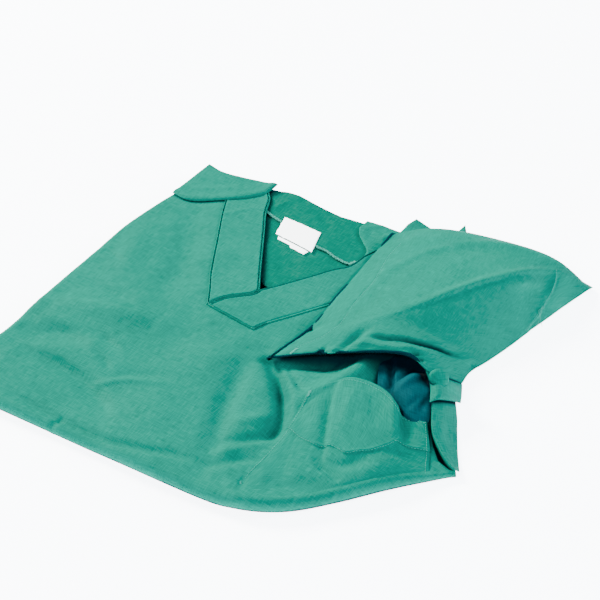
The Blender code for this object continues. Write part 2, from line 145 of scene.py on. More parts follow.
# The stack is sunk below the neck's opening, most of all at the foot of the V
RECESS_CENTRE = mm((-55, 110))[0]
RECESS_HALF = mm((118, 124))[0]
RECESS_FLAT = 0.90
RECESS_SLOPE = 0.09
PIT_CENTRE = mm((-47, 49))[0]
PIT_DEPTH = 6 * MM
PIT_REACH = 9 * MM
CARE_LABEL = mm((-91.4, 159.3), (-42.9, 154.5), (-34, 120), (-84.5, 129))
SIZE_LABEL = mm((-80, 127), (-38, 119.5), (-40, 113), (-59, 116.5), (-60, 119), (-78, 122.5))
SHOULDER_RIGHT_FOLD = mm(
    (-221.5, 131), (-199, 128.5), (-176, 142), (-154, 158), (-141, 170), (-134, 179), (-129.5, 190),
    (-127, 202.5),
)
SHOULDER_RIGHT_BACK = mm((-127, 202.5), (-150, 201), (-173, 197), (-197, 194.5), (-218, 200))
SHOULDER_RIGHT_END = mm((-218, 200), (-219.5, 166), (-221.5, 131))
SHOULDER_LEFT = mm(
    (30, 196), (32, 212), (37, 223), (71, 218), (82, 226), (86.5, 242), (93, 233), (95, 220),
    (95, 190), (60, 186),
)

# Folds: height and half width, then the places that each runs through. A trough is negative.
FRONT_FOLDS = (
    (-3.0, (19, 16), (-188, 132), (-174, 98), (-153, 60), (-140, 30), (-130, -4), (-124, -33)),
    (2.4, 15, (-214, 70), (-198, 24), (-180, -16)),
    (-1.6, (4, 2.4), (-226, 10), (-212, 6), (-194, 0)),
    (-3.0, (9, 6), (-214, -44), (-189, -45), (-164, -47), (-141, -46)),
    (3.8, (7, 15), (-221, -87), (-190, -78), (-157, -71), (-125, -63), (-104, -59)),
    (-4.6, (12, 18), (-226, -122), (-208, -132), (-184, -122), (-160, -114), (-139, -110)),
    (1.8, 7, (-222, -106), (-189, -107), (-158, -112), (-137, -121), (-118, -137)),
    (-4.6, (6, 12), (-212, -158), (-188, -159), (-167, -157), (-146, -158), (-125, -161), (-107, -167),
     (-86, -178), (-66, -196)),
    (-2.4, (2.6, 4), (-148, -102), (-134, -105), (-116, -111)),
    (-2.2, (2.6, 4), (-139, -124), (-119, -131), (-105, -140)),
    (2.0, (5, 3), (-110, -168), (-96, -155), (-87, -148), (-70, -139), (-46, -131)),
    (-1.6, 6, (-98, -142), (-80, -132), (-56, -124)),
    (-4.8, (10, 12), (-6, -46), (2, -66), (6, -82), (13, -104), (17, -123), (31, -159), (40, -184),
     (48, -208)),
    (-8.6, (6.5, 10), (8, -38), (18, -48), (33, -58), (50, -74), (65, -94), (72, -111), (78, -134),
     (80, -150)),
    (2.8, 4.5, (42, -58), (58, -74), (69, -90), (76, -106)),
    (-3.0, (3.6, 2.4), (34, -44), (46, -54), (59, -64), (75, -75)),
    (-3.8, (7, 5), (40, -170), (49, -160), (60, -151), (70, -139), (79, -120)),
    (2.4, 7, (34, -140), (50, -128), (60, -114)),
    (-4.0, (4.5, 4), (-196, -213), (-149, -216), (-118, -218), (-88, -219), (-49, -219), (-14, -212),
     (20, -201), (46, -198)),
    (-2.6, 5, (44, -202), (54, -189), (68, -177), (86, -163)),
    (1.8, 5, (38, -184), (52, -172), (68, -160)),
    (-1.8, 3, (82, -190), (88, -209)),
    (-3.0, (5, 3.6), (128, -146), (138, -149), (148, -152), (160, -156)),
    (-1.6, 16, (-104, 4), (-80, -40), (-66, -90)),
    (2.6, 36, (-216, -60), (-150, -66), (-104, -60)),
    (-2.8, 34, (-210, -184), (-130, -190), (-60, -190)),
    (1.8, 18, (-20, -45), (-28, -100)),
    (2.0, 24, (-50, -120), (-24, -196)),
    (-1.6, (3, 1.6), (70, -38), (78, -14), (83, 15)),
    (-5.0, (13, 9), (26, -52), (42, -42), (62, -30), (86, -14)),
    (1.0, 2.4, (-12, 181), (0, 192), (13, 200)),
    (-1.6, 3, (2, 184), (8, 174), (22, 174)),
    (1.8, 7, (16, 186), (26, 180)),
    (-1.6, 3, (-107, -230), (-104, -212)),
    (-2.4, 11, (84, -196), (132, -176), (170, -140)),
    (1.8, 9, (60, -206), (110, -214), (150, -186)),
)
# How many times deeper the folds are than the heights in the table
FRONT_DEPTH = 1.15
# Soft uneven ripples: height and spacing
FRONT_RIPPLES = ((1.5, 92), (0.8, 44), (0.25, 18))
MOUTH_RIDGE = ((11, (12, 16), (70, -92), (88, -58), (100, -30), (104, 10), (104, 60)),)

SLEEVE_SECTIONS = (
    # hem, rise, crown, side, foot
    ((18, -48, 17.6), (63, -24, 25.5), (134, 3, 38.0), (168, 4, 28), (190, 28, 4)),
    ((28, -6, 18.8), (58, 0, 28.5), (98, 27, 40.5), (150, 34, 33), (189, 48, 3)),
    ((31, 22, 19.3), (64, 28, 31.0), (110, 50, 44.0), (158, 60, 29), (197, 72, 3)),
    ((28, 62, 19.4), (68, 68, 32.5), (126, 79, 46.0), (173, 94, 29), (206, 104, 3)),
    ((28, 100, 19.6), (75, 106, 34.5), (142, 111, 45.5), (185, 125, 29), (213, 134, 3)),
    ((27, 138, 20.2), (82, 146, 36.0), (160, 141, 43.5), (198, 156, 27), (221, 163, 3)),
    ((27, 164, 21.2), (79, 181, 34.0), (178, 172, 41.0), (211, 184, 25), (228, 190, 3)),
    ((27, 182, 22.2), (72, 209, 28.5), (149, 222, 31.5), (203, 225, 26), (238, 218, 7)),
    ((30, 186, 20.8), (79, 216, 25.5), (152, 239, 3.0), (203, 241, 3), (240, 232, 3)),
)
SLEEVE_HEM_LINE = (
    (46.8, 167), (46.3, 156.8), (46.2, 140.3), (51.7, 111), (54.4, 93.5), (54.5, 71), (55.2, 48),
    (57.6, 31), (58.3, 14.6), (51.2, -4.4), (42, -16.5), (35.3, -26.4),
)
SLEEVE_SEAM = (
    (207, 207), (211.6, 195), (214.1, 179.4), (213.3, 169.5), (212.9, 159.8), (211.8, 146.2),
    (209.7, 131.1),
)
SLEEVE_FOLDS = (
    (-0.5, 1.6) + SLEEVE_HEM_LINE,
    (3.4, (7, 2.4), (109, 50), (126.7, 77.4), (143.6, 109.4), (160, 138), (180, 166), (194.5, 188.6)),
    (2.0, (5, 2.6), (180, 166), (194.5, 188.6), (203, 203), (211, 210), (227, 220)),
    (-4.2, (2.4, 1.3), (132, 21.5), (145, 27.5), (158.5, 36), (168, 43), (177, 52)),
    (-6.0, (3.4, 1.5), (90, 5), (105, 11), (113, 13), (126, 19.5), (145, 27.5), (158.5, 36), (168, 43)),
    (3.0, 3.4, (84, -7), (100, 1), (115, 4.5), (130, 10.5), (148, 18), (160, 26)),
    (-2.0, (3.4, 1.5), (108, 4), (124, 8), (136, 14)),
    (-4.2, (6, 2.6), (80, -16), (82.5, -4), (86.5, 8), (92, 17)),
    (2.0, 5, (92, -10), (96, 4), (102, 16)),
    (-1.8, (4.6, 3), (164, 40), (170, 48), (176, 55), (184, 58)),
    (-1.0, (6, 5), (130, 46), (150, 49), (163.5, 50)),
    (-4.0, 3, (186, 52), (193, 60)),
    (1.8, 3.6, (148, 3), (158, 2), (167, 2), (175, 4)),
    (-3.4, 11, (204, 200), (205, 180), (201, 155), (196, 128)),
    (1.6, (1.6, 3)) + SLEEVE_SEAM,
    (1.8, 8, (99, 177), (122, 200), (162, 215), (200, 227)),
    (-1.6, 7, (92, 160), (120, 186), (160, 203)),
    (1.2, 6, (60, 120), (90, 168), (120, 180)),
    (-3.0, (3.2, 1.5), (61, -28), (64, -17)),
    (2.0, 4, (71, -24), (74, -12)),
    (-1.4, (3.6, 2), (30, 3), (38, 8)),
    (0.8, 4, (29, 12), (36, 18)),
    (-3.8, 2.0, (143, 8), (150, 14)),
    (-3.4, 1.8, (151, 6), (157, 11)),
    (-1.2, 9, (66, 60), (72, 120), (84, 165)),
)
SLEEVE_RIPPLES = ((1.0, 60), (0.5, 30), (0.18, 14))
# The sleeve's seam is a step down, in mm, that fades at both ends, and its edges curl down by these mm
SEAM_STEP = -2.4
SEAM_WIDTH = 1.6 * MM
SEAM_FADES = (0.15, 0.1)
HEM_CURL, MOUTH_CURL = 1.1, 0.9
EDGE_WIDTH = 1.5 * MM
# How far the turned edges lead under the sleeve, and how much of it is left at the hem's corner
HEM_TUCK = mm((3.5, 0, -1.6))[0]
HEM_LEAST = 0.35
HEM_CORNER = -30 * MM
HEM_CORNER_REACH = 40 * MM
MOUTH_TUCK = mm((1.0, 3.6, -3.4))[0]
MOUTH_TUCK_LOW = mm((-1.6, 0.8, -1.2))[0]
TUCK_CHANGE = (122 * MM, 150 * MM)

# The underarm starts just outside the sleeve's last row, from this far along it
UNDERARM_START = 160 * MM
UNDERARM_STEP = mm((0.5, -0.4, -0.2))[0]
UNDERARM_SECTIONS = (
    # tunnel edge, top, side, foot
    ((171, -7, 25), (178, -1, 29.5), (187.5, 10, 17.5), (194.5, 19, 3)),
    ((177, -16, 24), (184, -10.5, 26.5), (192, 2, 16), (198, 11, 3)),
    ((184, -31, 24.5), (189, -23, 24), (195.5, -9, 14.5), (200.5, 4, 3)),
)
UNDERARM_TUCK = mm((-2.5, 4, -3.5))[0]
UNDERARM_FOLDS = (
    (-1.2, 2.2, (169, 1), (173, -3), (176, -9)),
    (-0.8, 3, (186, -4), (192, 0), (197, 8)),
    (0.7, 3, (183, -27), (190, -16), (196, -4)),
)
# Round tuck of cloth pushed out at the underarm seam: its middle, radius, height and the way it faces,
# and the crease across it, by its middle, radius and width as shares of the tuck's radius
TUCK_CENTRE = mm((178.8, -2.4, 29.6))[0]
TUCK_RADIUS = 9.2 * MM
TUCK_OVAL = 0.05
TUCK_HEIGHT = 3.2 * MM
TUCK_SKIRT = 5 * MM
TUCK_CREASE_DEPTH = 0.8 * MM
TUCK_CREASE = (-0.55, 0.75, 1.25, 0.10)
TUCK_FACING = Vector((0.42, -0.56, 0.71)).normalized()
SIDE_TUCK = mm((-0.6, -0.4, -6.0))[0]
SIDE_SECTIONS = (
    # free edge, middle, foot
    ((176, -14, 21.0), (184, -4, 14.5), (191, 10, 2.4)),
    ((184, -26, 21.6), (191, -14.5, 14.5), (197, 1, 2.6)),
    ((198, -52, 18.5), (202.5, -36, 12.5), (207.5, -17, 2.4)),
    ((208, -63, 14.5), (211.5, -48, 9.6), (214.5, -31, 2.4)),
    ((225, -76, 10.4), (226, -67, 6.4), (227.5, -56, 2.2)),
    ((238, -82.5, 8.4), (238.8, -80, 5.4), (239.6, -77, 2.2)),
)
SIDE_FOLDS = (
    (0.8, 4, (196, -38), (208, -52), (222, -68)),
    (-0.7, 4, (203, -30), (212, -45)),
)

# Cloth of the side seam that rises inside the sleeve's mouth, from the pocket's edge inwards
MOUTH_CLOTH_SECTIONS = (
    ((140, -52, 15.6), (158, -54, 16.0), (176, -58, 15.0), (190, -55, 13.0)),
    ((134, -40, 17.5), (153, -42, 20.0), (172, -48, 19.5), (192, -46, 16.0)),
    ((124, -22, 18.5), (144, -26, 22.5), (164, -30, 24.5), (186, -30, 18.5)),
    ((116, -4, 18.5), (132, -8, 22.0), (154, -8, 26.5), (180, -13.5, 20.5)),
    ((112, 14, 16.4), (128, 12, 18.0), (146, 10, 20.0), (161, 8, 19.0)),
    ((108, 40, 15.8), (124, 38, 16.2), (142, 34, 16.6), (156, 30, 16.2)),
)
MOUTH_CLOTH_FOLDS = (
    (-5.0, (2.2, 5), (126, 8), (134, -12), (146, -38)),
    (-4.4, (5, 1.8), (140, -27), (149, -4), (154, 10), (158, 24)),
    (2.6, 4, (150, -30), (158, -6), (164, 10)),
    (2.0, (1.8, 5), (157, -42), (170, -51), (194, -53)),
    (-1.2, 3, (168, -46), (172, -28)),
    (-1.4, 4, (180, -46), (178, -22)),
)
MOUTH_CLOTH_RIPPLES = ((0.5, 16),)

POCKET_SECTIONS = (
    # x, y and height above the front, from the wearer's right to the left
    ((78, -73, 0.8), (92, -53, 8.4), (104, -43, 12.8), (120, -40, 14.6), (136, -41, 14.8),
     (149, -45, 14.2), (159, -51.4, 12.6), (169.3, -55.6, 6.6), (179.5, -52.7, 2.4), (191, -48.5, 0.8)),
    ((84, -120, 0.8), (95, -124, 1.6), (106, -126.5, 2.8), (120, -127, 4), (136, -125.5, 5.4),
     (149, -124, 6.2), (162, -113, 7), (176, -99, 7), (191, -87, 4.6), (208.5, -76.5, 0.8)),
    ((85, -160, 0.8), (96, -163, 1.4), (108, -165, 2.6), (122, -163, 3), (138, -160, 3.2),
     (152, -153, 3.2), (166, -143, 3.1), (181, -127, 3), (196, -109, 2.2), (215, -90, 0.8)),
    ((82, -200, 0.3), (92, -205, 0.3), (105, -208, 0.3), (118, -202, 0.3), (134, -190, 0.3),
     (147, -176, 0.3), (161, -161, 0.3), (178, -143, 0.3), (197, -122, 0.3), (220, -98, 0.3)),
)
POCKET_HEM_LINE = (
    (84, -119.6), (101.2, -126.3), (116.5, -128.3), (125.2, -126.5), (130.3, -124.4), (138.7, -124.6),
    (148.1, -125.9), (157, -119.1), (165.9, -112.6), (171.9, -104.5), (177.9, -94.5), (180.6, -88.5),
    (185.8, -87), (190.3, -86), (195.1, -84), (200.1, -81), (206, -77.5),
)
# The pocket's turned hem, in mm: its step up, and the lip along its stitches
POCKET_HEM_STEP = 1.2
POCKET_HEM_SLOPE = 0.9 * MM
LIP_RISE, LIP_WIDTH, LIP_IN = 0.5, 1.3, 1.2
# How the pocket goes down where it is sewn on: shares of its length, then heights above the front in mm
SEWN_FROM, SEWN_SPAN = 0.72, 0.28
LOOSE_ABOVE, SEWN_PULL = 0.7, 1.1
SEWN_SINK = 0.8 * MM
POCKET_FOLDS = (
    (-3.6, (3, 7), (96, -44), (99.4, -64.3), (104.9, -79.3), (111.7, -96.2), (119.5, -113.2),
     (127, -129.5), (134.9, -146.4), (138, -154)),
    (1.6, 7, (114, -48), (124, -80), (134, -112)),
    (-2.8, 10, (132, -50), (149, -70.5), (157, -90)),
    (-3.8, (8, 10), (132, -142), (152, -140), (172, -118)),
    (2.0, 9, (138, -154), (165, -142), (188, -112)),
    (-2.4, (5, 6), (174, -106), (186.5, -98), (196, -96), (206, -94)),
    (-4.6, (8, 4), (165, -48), (173, -61), (181, -74), (190, -87)),
    (2.0, 4.5, (156, -50), (166, -68), (176, -90)),
    (-1.8, 9, (100, -150), (112, -182)),
    (1.6, 8, (92, -176), (100, -200)),
    (-1.6, 6, (160, -150), (186, -128)),
)
POCKET_RIPPLES = ((0.3, 24),)

BAND_CREASES = (
    (1.0, 2.6, (-158, 122), (-147.5, 131), (-125, 158)),
    (-0.7, 3, (-100, 38), (-70, 24)),
    (-0.9, 2.4, (-80, -5), (-72, 0), (-66, 4)),
)
BACK_CREASES = (
    (1.2, 3, (-113, 169), (-103, 189)),
    (-1.2, 6, (-70, 193), (-49, 174), (-35, 161)),
    (0.9, 3, (-49, 193), (-28, 188), (-15, 184)),
    (-0.8, 8, (-110, 150), (-90, 185)),
    (-0.9, 10, (-60, 100), (-30, 80)),
    (0.8, 9, (-90, 120), (-60, 80)),
)
SHOULDER_CREASES = (
    (0.8, 4, (-205, 150), (-175, 168), (-150, 182)),
    (-0.7, 5, (-195, 165), (-165, 183)),
)
# The roll along the right shoulder's fold, the dip at its foot, and the curl at its end by the neck
ROLL_RISE, ROLL_WIDTH = 1.1 * MM, 5 * MM
ROLL_DIP, DIP_WIDTH = 1.0 * MM, 1.6 * MM
CURL_RISE, CURL_WIDTH = 2.6 * MM, 12 * MM
CURL_FROM, CURL_SPAN = 0.86, 0.14
# The left shoulder's rise towards the back, from a slanting line through a place
SHOULDER_LEFT_START = mm((30, 198))[0]
SHOULDER_LEFT_SLANT = 0.5
SHOULDER_LEFT_RISE = 6.5 * MM
SHOULDER_LEFT_REACH = 30 * MM

# A turned and topstitched edge, in mm: it rounds off, sinks along the stitches and puffs beside them
RIM_DROP, RIM_WIDTH = 0.55, 0.8
STITCHES_IN = 1.9
STITCH_SINK, STITCH_WIDTH = 1.25, 0.6
EDGE_PUFFS = ((0.5, 0.7, 0.6), (0.4, 3.6, 1.6))
STITCHED_ROWS = (0.7, 1.3, STITCHES_IN, 2.6, 3.6)
PLAIN_ROWS = (0.8,)
FAINT_REACH = 6 * MM
FAINT_DROP = 0.3 * MM

# Height of each laid piece's outer side above the front's surface, in mm, and the cloth's wall
CLOTH = 0.6 * MM
BAND_LIFT = 0.95
SHOULDER_RIGHT_LIFT = 2.4
SHOULDER_LEFT_LIFT = 1.9
FACING_LIFT = -1.8
BACK_LIFT = -3.3
CARE_LIFT = -0.5
SIZE_LIFT = -1.2
LABEL_BOW = 0.5 * MM

# Meshes: spacing of the flat cuts, and the points across and rows along each lofted cloth
RIM_STEP = 6 * MM
LAYERS_STEP = 12 * MM
FRONT_STEP = 11 * MM
SLEEVE_MESH = (170, 200)
UNDERARM_MESH = (131, 70)
SIDE_MESH = (33, 71)
MOUTH_MESH = (71, 91)
POCKET_MESH = (111, 131)

# How open each point of the cloth lies, which sets the poplin's painted shade: rings of rays, each by
# its lean from the normal and its count
OPEN_RINGS = ((18, 4), (42, 6), (66, 8))
OPEN_START = 2.5 * MM
OPEN_REACH = 48 * MM
FACES_DOWN = -0.25

# Stitches, in mm and degrees
TOPSTITCH_SHARE = 0.78
OVERLOCK = {"pitch": 0.9, "length": 4.4, "radius": 0.42, "turn": 78, "uneven": 24, "seed": 5}
BAR_TACK = {"pitch": 0.55, "length": 3.0, "radius": 0.3, "turn": 82, "uneven": 6, "seed": 8}
# The bar tacks at the pocket's mouth, the sleeve's hem and the pocket's foot
BAR_TACK_LINES = (
    ((79.5, -71.5), (80.5, -78.5)),
    ((35.5, -36.5), (38, -27.5)),
    ((80.8, -197), (86, -203)),
)
# The loose thread ends hang from a knot on the sleeve's seam
THREAD_KNOT = ((212.9, 159.8), (212.5, 158.5))
THREAD_END_RADIUS = 0.22 * MM
THREAD_TAILS = (
    ((0, 0, 0), (-1.5, -3, -1), (1, -6, -4), (3, -12, -8), (2, -19, -11)),
    ((0, 0, 0), (1, 2, 1.5), (2.5, 0.5, 1.8), (1, -2, 0.5), (4, -9, -6), (8, -13, -11.2)),
    ((0, 1, 0), (-1, 6, 1), (0.5, 11, 2.5)),
)

# Poplin: what its tone is made of, and the painted shade that makes it darker and bluer where it lies
# deep
STREAK_LENGTH = 14
PATCH_SIZE = 45.5 * MM
PATCH_SHARE = 0.35
TONE_RANGE = (0.85, 1.5)
DARK_THREADS, LIGHT_THREADS = 0.66, 1.22
PAINTED_SHADE_SHARES = (0.05, 0.12, 0.24)
PAINTED_SHADE_UP_TO = 0.32
THREAD_DEPTH = 0.25 * MM

# The stage, in metres: each soft box by its place across, ahead and up, its size, watts and colour
TABLE_REACH = 4.0
TABLE_TOP = -0.3 * MM  # just clear of the cloth
TABLE_GLOW = 7.5
# The labels glow a little: painted light that keeps them bright white
LABEL_PAINTED_GLOW = 3.0
SOFT_BOXES = (
    ("back light", -3.0, 2.8, 2.2, 1.2, 1150, (1.0, 0.97, 0.88)),
    ("front light", -3.2, -3.0, 3.4, 1.6, 420, (0.95, 0.98, 1.0)),
    ("right light", 2.9, 0.1, 1.4, 1.2, 215, (0.80, 0.95, 1.0)),
)
SKY_COLOUR = (0.35, 0.62, 1.0, 1)
SKY_STRENGTH = 0.5
CAMERA_FOOT = (602.6 * MM, -955 * MM)
CAMERA_HEIGHT = 970 * MM
CAMERA_DOWN = math.radians(39.6)
CAMERA_TURN = math.radians(58.8)
CAMERA_LENS = 88.9
CAMERA_SENSOR = 36
CAMERA_SHIFT = 0.015


# Shapes


def smooth_step(t):
    t = np.clip(t, 0.0, 1.0)
    return t * t * (3 - 2 * t)


def bell(x, width, middle=0.0):
    """A soft bump, 1 high in its middle."""
    return np.exp(-((x - middle) / width) ** 2)


def closed(ring):
    return np.vstack([ring, ring[:1]])


def catmull_rom(points, count):
    """A smooth open curve of count points through the given ones, in any number of dimensions."""
    pts = np.asarray(points, float)
    ends = np.concatenate([[2 * pts[0] - pts[1]], pts, [2 * pts[-1] - pts[-2]]])
    spans = len(pts) - 1
    at = np.linspace(0, spans, count)
    k = np.minimum(at.astype(int), spans - 1)
    t = (at - k).reshape((-1,) + (1,) * (pts.ndim - 1))
    a, b, c, d = ends[k], ends[k + 1], ends[k + 2], ends[k + 3]
    slope = c - a
    bow = 2 * a - 5 * b + 4 * c - d
    twist = 3 * b - a - 3 * c + d
    return 0.5 * (2 * b + slope * t + bow * t ** 2 + twist * t ** 3)


def evenly(line, step):
    """The same line with its points spread evenly, about a step apart."""
    at = np.concatenate([[0], np.cumsum(np.linalg.norm(np.diff(line, axis=0), axis=1))])
    place = np.linspace(0, at[-1], max(2, int(round(at[-1] / step)) + 1))
    return np.stack([np.interp(place, at, line[:, k]) for k in range(line.shape[1])], axis=1)


def curved(points, step):
    """A smooth line through the points, with new ones a step apart."""
    if len(points) < 3:
        return evenly(points, step)
    return evenly(catmull_rom(points, 24 * len(points)), step)


def outline_of(runs, step):
    """A closed outline from runs that meet at sharp corners."""
    return np.vstack([curved(run, step)[:-1] for run in runs])


def cornered(points, step):
    """A closed outline with straight sides between the points."""
    shut = closed(points)
    return np.vstack([evenly(shut[i:i + 2], step)[:-1] for i in range(len(points))])


def inside(points, polygon):
    """Which of the points lie inside a closed outline."""
    x, y = points[:, 0], points[:, 1]
    found = np.zeros(len(points), bool)
    for (ax, ay), (bx, by) in zip(polygon, np.roll(polygon, -1, axis=0)):
        if ay != by:
            found ^= ((ay > y) != (by > y)) & (x < ax + (y - ay) * (bx - ax) / (by - ay))
    return found


def nearest_on(points, line):
    """For each point: its distance to the line, the place there, how far along it is, and its side."""
    steps = np.diff(line, axis=0)
    lengths = np.linalg.norm(steps, axis=1)
    starts = np.concatenate([[0], np.cumsum(lengths)])
    far = np.full(len(points), np.inf)
    place = np.zeros((len(points), 2))
    along = np.zeros(len(points))
    side = np.zeros(len(points))
    for a, step, length, start in zip(line, steps, lengths, starts):
        gap = points - a
        t = np.clip(gap @ step / length ** 2, 0, 1)
        spot = a + t[:, None] * step
        away = np.linalg.norm(points - spot, axis=1)
        better = away < far
        far[better] = away[better]
        place[better] = spot[better]
        along[better] = (start + t[better] * length) / starts[-1]
        side[better] = (step[0] * gap[better, 1] - step[1] * gap[better, 0]) / length
    return far, place, along, side


def folds_at(points, folds):
    """The height of all these folds at each place: a pair of widths is for a fold's left and right."""
    total = np.zeros(len(points))
    for height, width, *line in folds:
        curve = curved(mm(*line), 4 * MM)
        far, _, along, side = nearest_on(points, curve)
        left, right = width if isinstance(width, tuple) else (width, width)
        reach = np.where(side > 0, left, right) * MM
        ends = np.sin(np.pi * np.clip(along, 0.04, 0.96)) ** 0.7
        total += height * MM * bell(far, reach) * ends
    return total


def ripples_at(points, sizes, seed):
    """Soft uneven waves: heights and spacings in millimetres."""
    total = np.zeros(len(points))
    for k, (height, spacing) in enumerate(sizes):
        grid = np.random.default_rng(seed + k).uniform(-1, 1, (64, 64))
        at = points / (spacing * MM) + 20
        cell = np.floor(at).astype(int)
        t = smooth_step(at - cell)
        x0, y0 = cell[:, 0] % 64, cell[:, 1] % 64
        x1, y1 = (x0 + 1) % 64, (y0 + 1) % 64
        low = grid[x0, y0] * (1 - t[:, 0]) + grid[x1, y0] * t[:, 0]
        high = grid[x0, y1] * (1 - t[:, 0]) + grid[x1, y1] * t[:, 0]
        total += height * MM * (low * (1 - t[:, 1]) + high * t[:, 1])
    return total


FOLD_CURVE = evenly(catmull_rom(FOLD_LINE, 400), CURVE_STEP)
FOLD_WAY = np.gradient(FOLD_CURVE, axis=0)
FOLD_INWARD = np.stack([-FOLD_WAY[:, 1], FOLD_WAY[:, 0]], axis=1)
FOLD_INWARD /= np.linalg.norm(FOLD_INWARD, axis=1)[:, None]


def stack_height(points):
    """The folded stack's height, which is less near the corner at the wearer's left."""
    away = np.hypot(points[:, 0] - CORNER[0], points[:, 1] - CORNER[1])
    return CORNER_STACK + (STACK - CORNER_STACK) * smooth_step(away / CORNER_REACH)


def front_height(points, ridge=True):
    """Height of the front's outer side, with or without its ridge at the pocket's mouth."""
    thin = stack_height(points) / STACK
    raised = FRONT_DEPTH * folds_at(points, FRONT_FOLDS) + ripples_at(points, FRONT_RIPPLES, 3)
    if ridge:
        raised = raised + folds_at(points, MOUTH_RIDGE)
    return stack_height(points) + raised * thin


def roll_frame(points):
    """Where each point is against the folds: the roll's centre, the way in, its radius and the turn."""
    far, place, along, side = nearest_on(points, FOLD_CURVE)
    at = np.clip(np.round(along * (len(FOLD_CURVE) - 1)).astype(int), 0, len(FOLD_CURVE) - 1)
    inward = FOLD_INWARD[at]
    radius = stack_height(place) / 2
    turn = np.clip((radius - far * np.where(side < 0, -1, 1)) / radius, 0, FILL_TURN)
    return place + inward * radius[:, None], inward, radius, turn


def rolled(points, depth):
    """The front's surface, sunk by depth: flat on the stack, then round the outer folds."""
    depth = np.broadcast_to(depth, len(points)).astype(float)
    centre, inward, radius, turn = roll_frame(points)
    out = np.column_stack([points, front_height(points) - depth])
    bent = turn > 0
    reach = radius - depth
    out[bent, :2] = (centre - inward * (reach * np.sin(turn))[:, None])[bent]
    rise = front_height(centre) - 2 * radius
    out[bent, 2] = (radius + reach * np.cos(turn) + rise * 0.5 * (1 + np.cos(turn)))[bent]
    return out


def rolled_outline(turns, step, edge):
    """The cloth's flat outline, its outer row at the last turn, and the points of the rows within."""
    every = int(round(ROLL_STEP / CURVE_STEP))
    pick = np.unique(np.append(np.arange(0, len(FOLD_CURVE), every), len(FOLD_CURVE) - 1))
    line, inward = FOLD_CURVE[pick], FOLD_INWARD[pick]
    radius = stack_height(line)[:, None] / 2
    rows = [line - inward * radius * (turn - 1) for turn in turns]
    ends = [row[-1] for row in rows[-2::-1]]
    starts = [row[0] for row in rows[:-1]]
    line = np.vstack([edge, OPEN_SIDE])
    side = np.vstack([evenly(line[i:i + 2], step)[:-1] for i in range(len(line) - 1)])
    outline = np.vstack([rows[-1], ends, side, OPEN_SIDE[-1:], starts])
    return outline, np.vstack([row[1:-1] for row in rows[:-1]])


def triangulate(ring, step, fixed=None, off_roll=False):
    """Triangles that fill a flat outline, with the given points and a lattice inside it."""
    fixed = np.zeros((0, 2)) if fixed is None else fixed
    low, high = ring.min(0), ring.max(0)
    across = np.arange(np.floor(low[0] / step), np.ceil(high[0] / step) + 1)
    up = np.arange(np.floor(low[1] / step), np.ceil(high[1] / step) + 1)
    lattice = np.array([((i + (j % 2) / 2) * step, j * step) for j in up for i in across])
    lattice = lattice[inside(lattice, ring)]
    lattice = lattice[nearest_on(lattice, closed(ring))[0] > 0.5 * step]
    if len(fixed):
        near = np.array([np.linalg.norm(fixed - p, axis=1).min() for p in lattice])
        lattice = lattice[near > 0.5 * step]
    if off_roll:
        lattice = lattice[roll_frame(lattice)[3] <= 0]
    points = [Vector(p) for p in np.vstack([ring, fixed, lattice])]
    edges = [(i, (i + 1) % len(ring)) for i in range(len(ring))]
    verts, _, faces, _, _, _ = delaunay_2d_cdt(points, edges, [], 0, 1e-7)
    flat = np.array([v[:] for v in verts])
    tris = np.array(faces)
    tris = tris[inside(flat[tris].mean(1), ring)]
    return upright(flat, tris)


def plan_areas(points, tris):
    """Twice each triangle's area seen from above, below zero where it faces down."""
    a, b, c = (points[tris[:, i], :2] for i in range(3))
    return (b[:, 0] - a[:, 0]) * (c[:, 1] - a[:, 1]) - (b[:, 1] - a[:, 1]) * (c[:, 0] - a[:, 0])


def upright(flat, tris):
    """The triangles turned so that they face up, and only the points that they use."""
    turned = plan_areas(flat, tris) < 0
    tris[turned] = tris[turned][:, ::-1]
    used = np.unique(tris)
    index = np.full(len(flat), -1)
    index[used] = np.arange(len(used))
    return flat[used], index[tris]


def subdivided(flat, tris, times=1):
    """Each triangle split into four, as often as asked."""
    for _ in range(times):
        sides = np.sort(np.concatenate([tris[:, [0, 1]], tris[:, [1, 2]], tris[:, [2, 0]]]), axis=1)
        edges, at = np.unique(sides, axis=0, return_inverse=True)
        ab, bc, ca = (at.reshape(-1)[i * len(tris):(i + 1) * len(tris)] + len(flat) for i in range(3))
        flat = np.vstack([flat, flat[edges].mean(1)])
        a, b, c = tris.T
        quarters = (a, ab, ca), (ab, b, bc), (ca, bc, c), (ab, bc, ca)
        tris = np.concatenate([np.stack(quarter, 1) for quarter in quarters])
    return flat, tris


def inset_rings(ring, distances):
    """Points on lines that follow a closed outline at these distances inside it."""
    before, after = np.roll(ring, 1, axis=0), np.roll(ring, -1, axis=0)
    way = (after - ring) / np.linalg.norm(after - ring, axis=1)[:, None]
    way = way + (ring - before) / np.linalg.norm(ring - before, axis=1)[:, None]
    way /= np.linalg.norm(way, axis=1)[:, None]
    normal = np.stack([-way[:, 1], way[:, 0]], axis=1)
    if not inside(ring + normal * 0.2 * MM, ring).mean() > 0.5:
        normal = -normal
    rings = np.vstack([ring + normal * d * MM for d in distances])
    keep = inside(rings, ring)
    far = nearest_on(rings, closed(ring))[0]
    return rings[keep & (far > 0.75 * np.repeat(distances, len(ring)) * MM)]


def grid_triangles(rows, columns):
    """The triangles of a grid of points, given row by row."""
    tris = []
    for r in range(rows - 1):
        for c in range(columns - 1):
            a = r * columns + c
            tris += [(a, a + 1, a + columns + 1), (a, a + columns + 1, a + columns)]
    return np.array(tris)


def grid_normals(grid):
    """The upward normal at each point of a grid."""
    normal = np.cross(np.gradient(grid, axis=1), np.gradient(grid, axis=0))
    normal /= np.linalg.norm(normal, axis=2)[:, :, None] + 1e-12
    return normal * np.sign(np.median(normal[:, :, 2]))


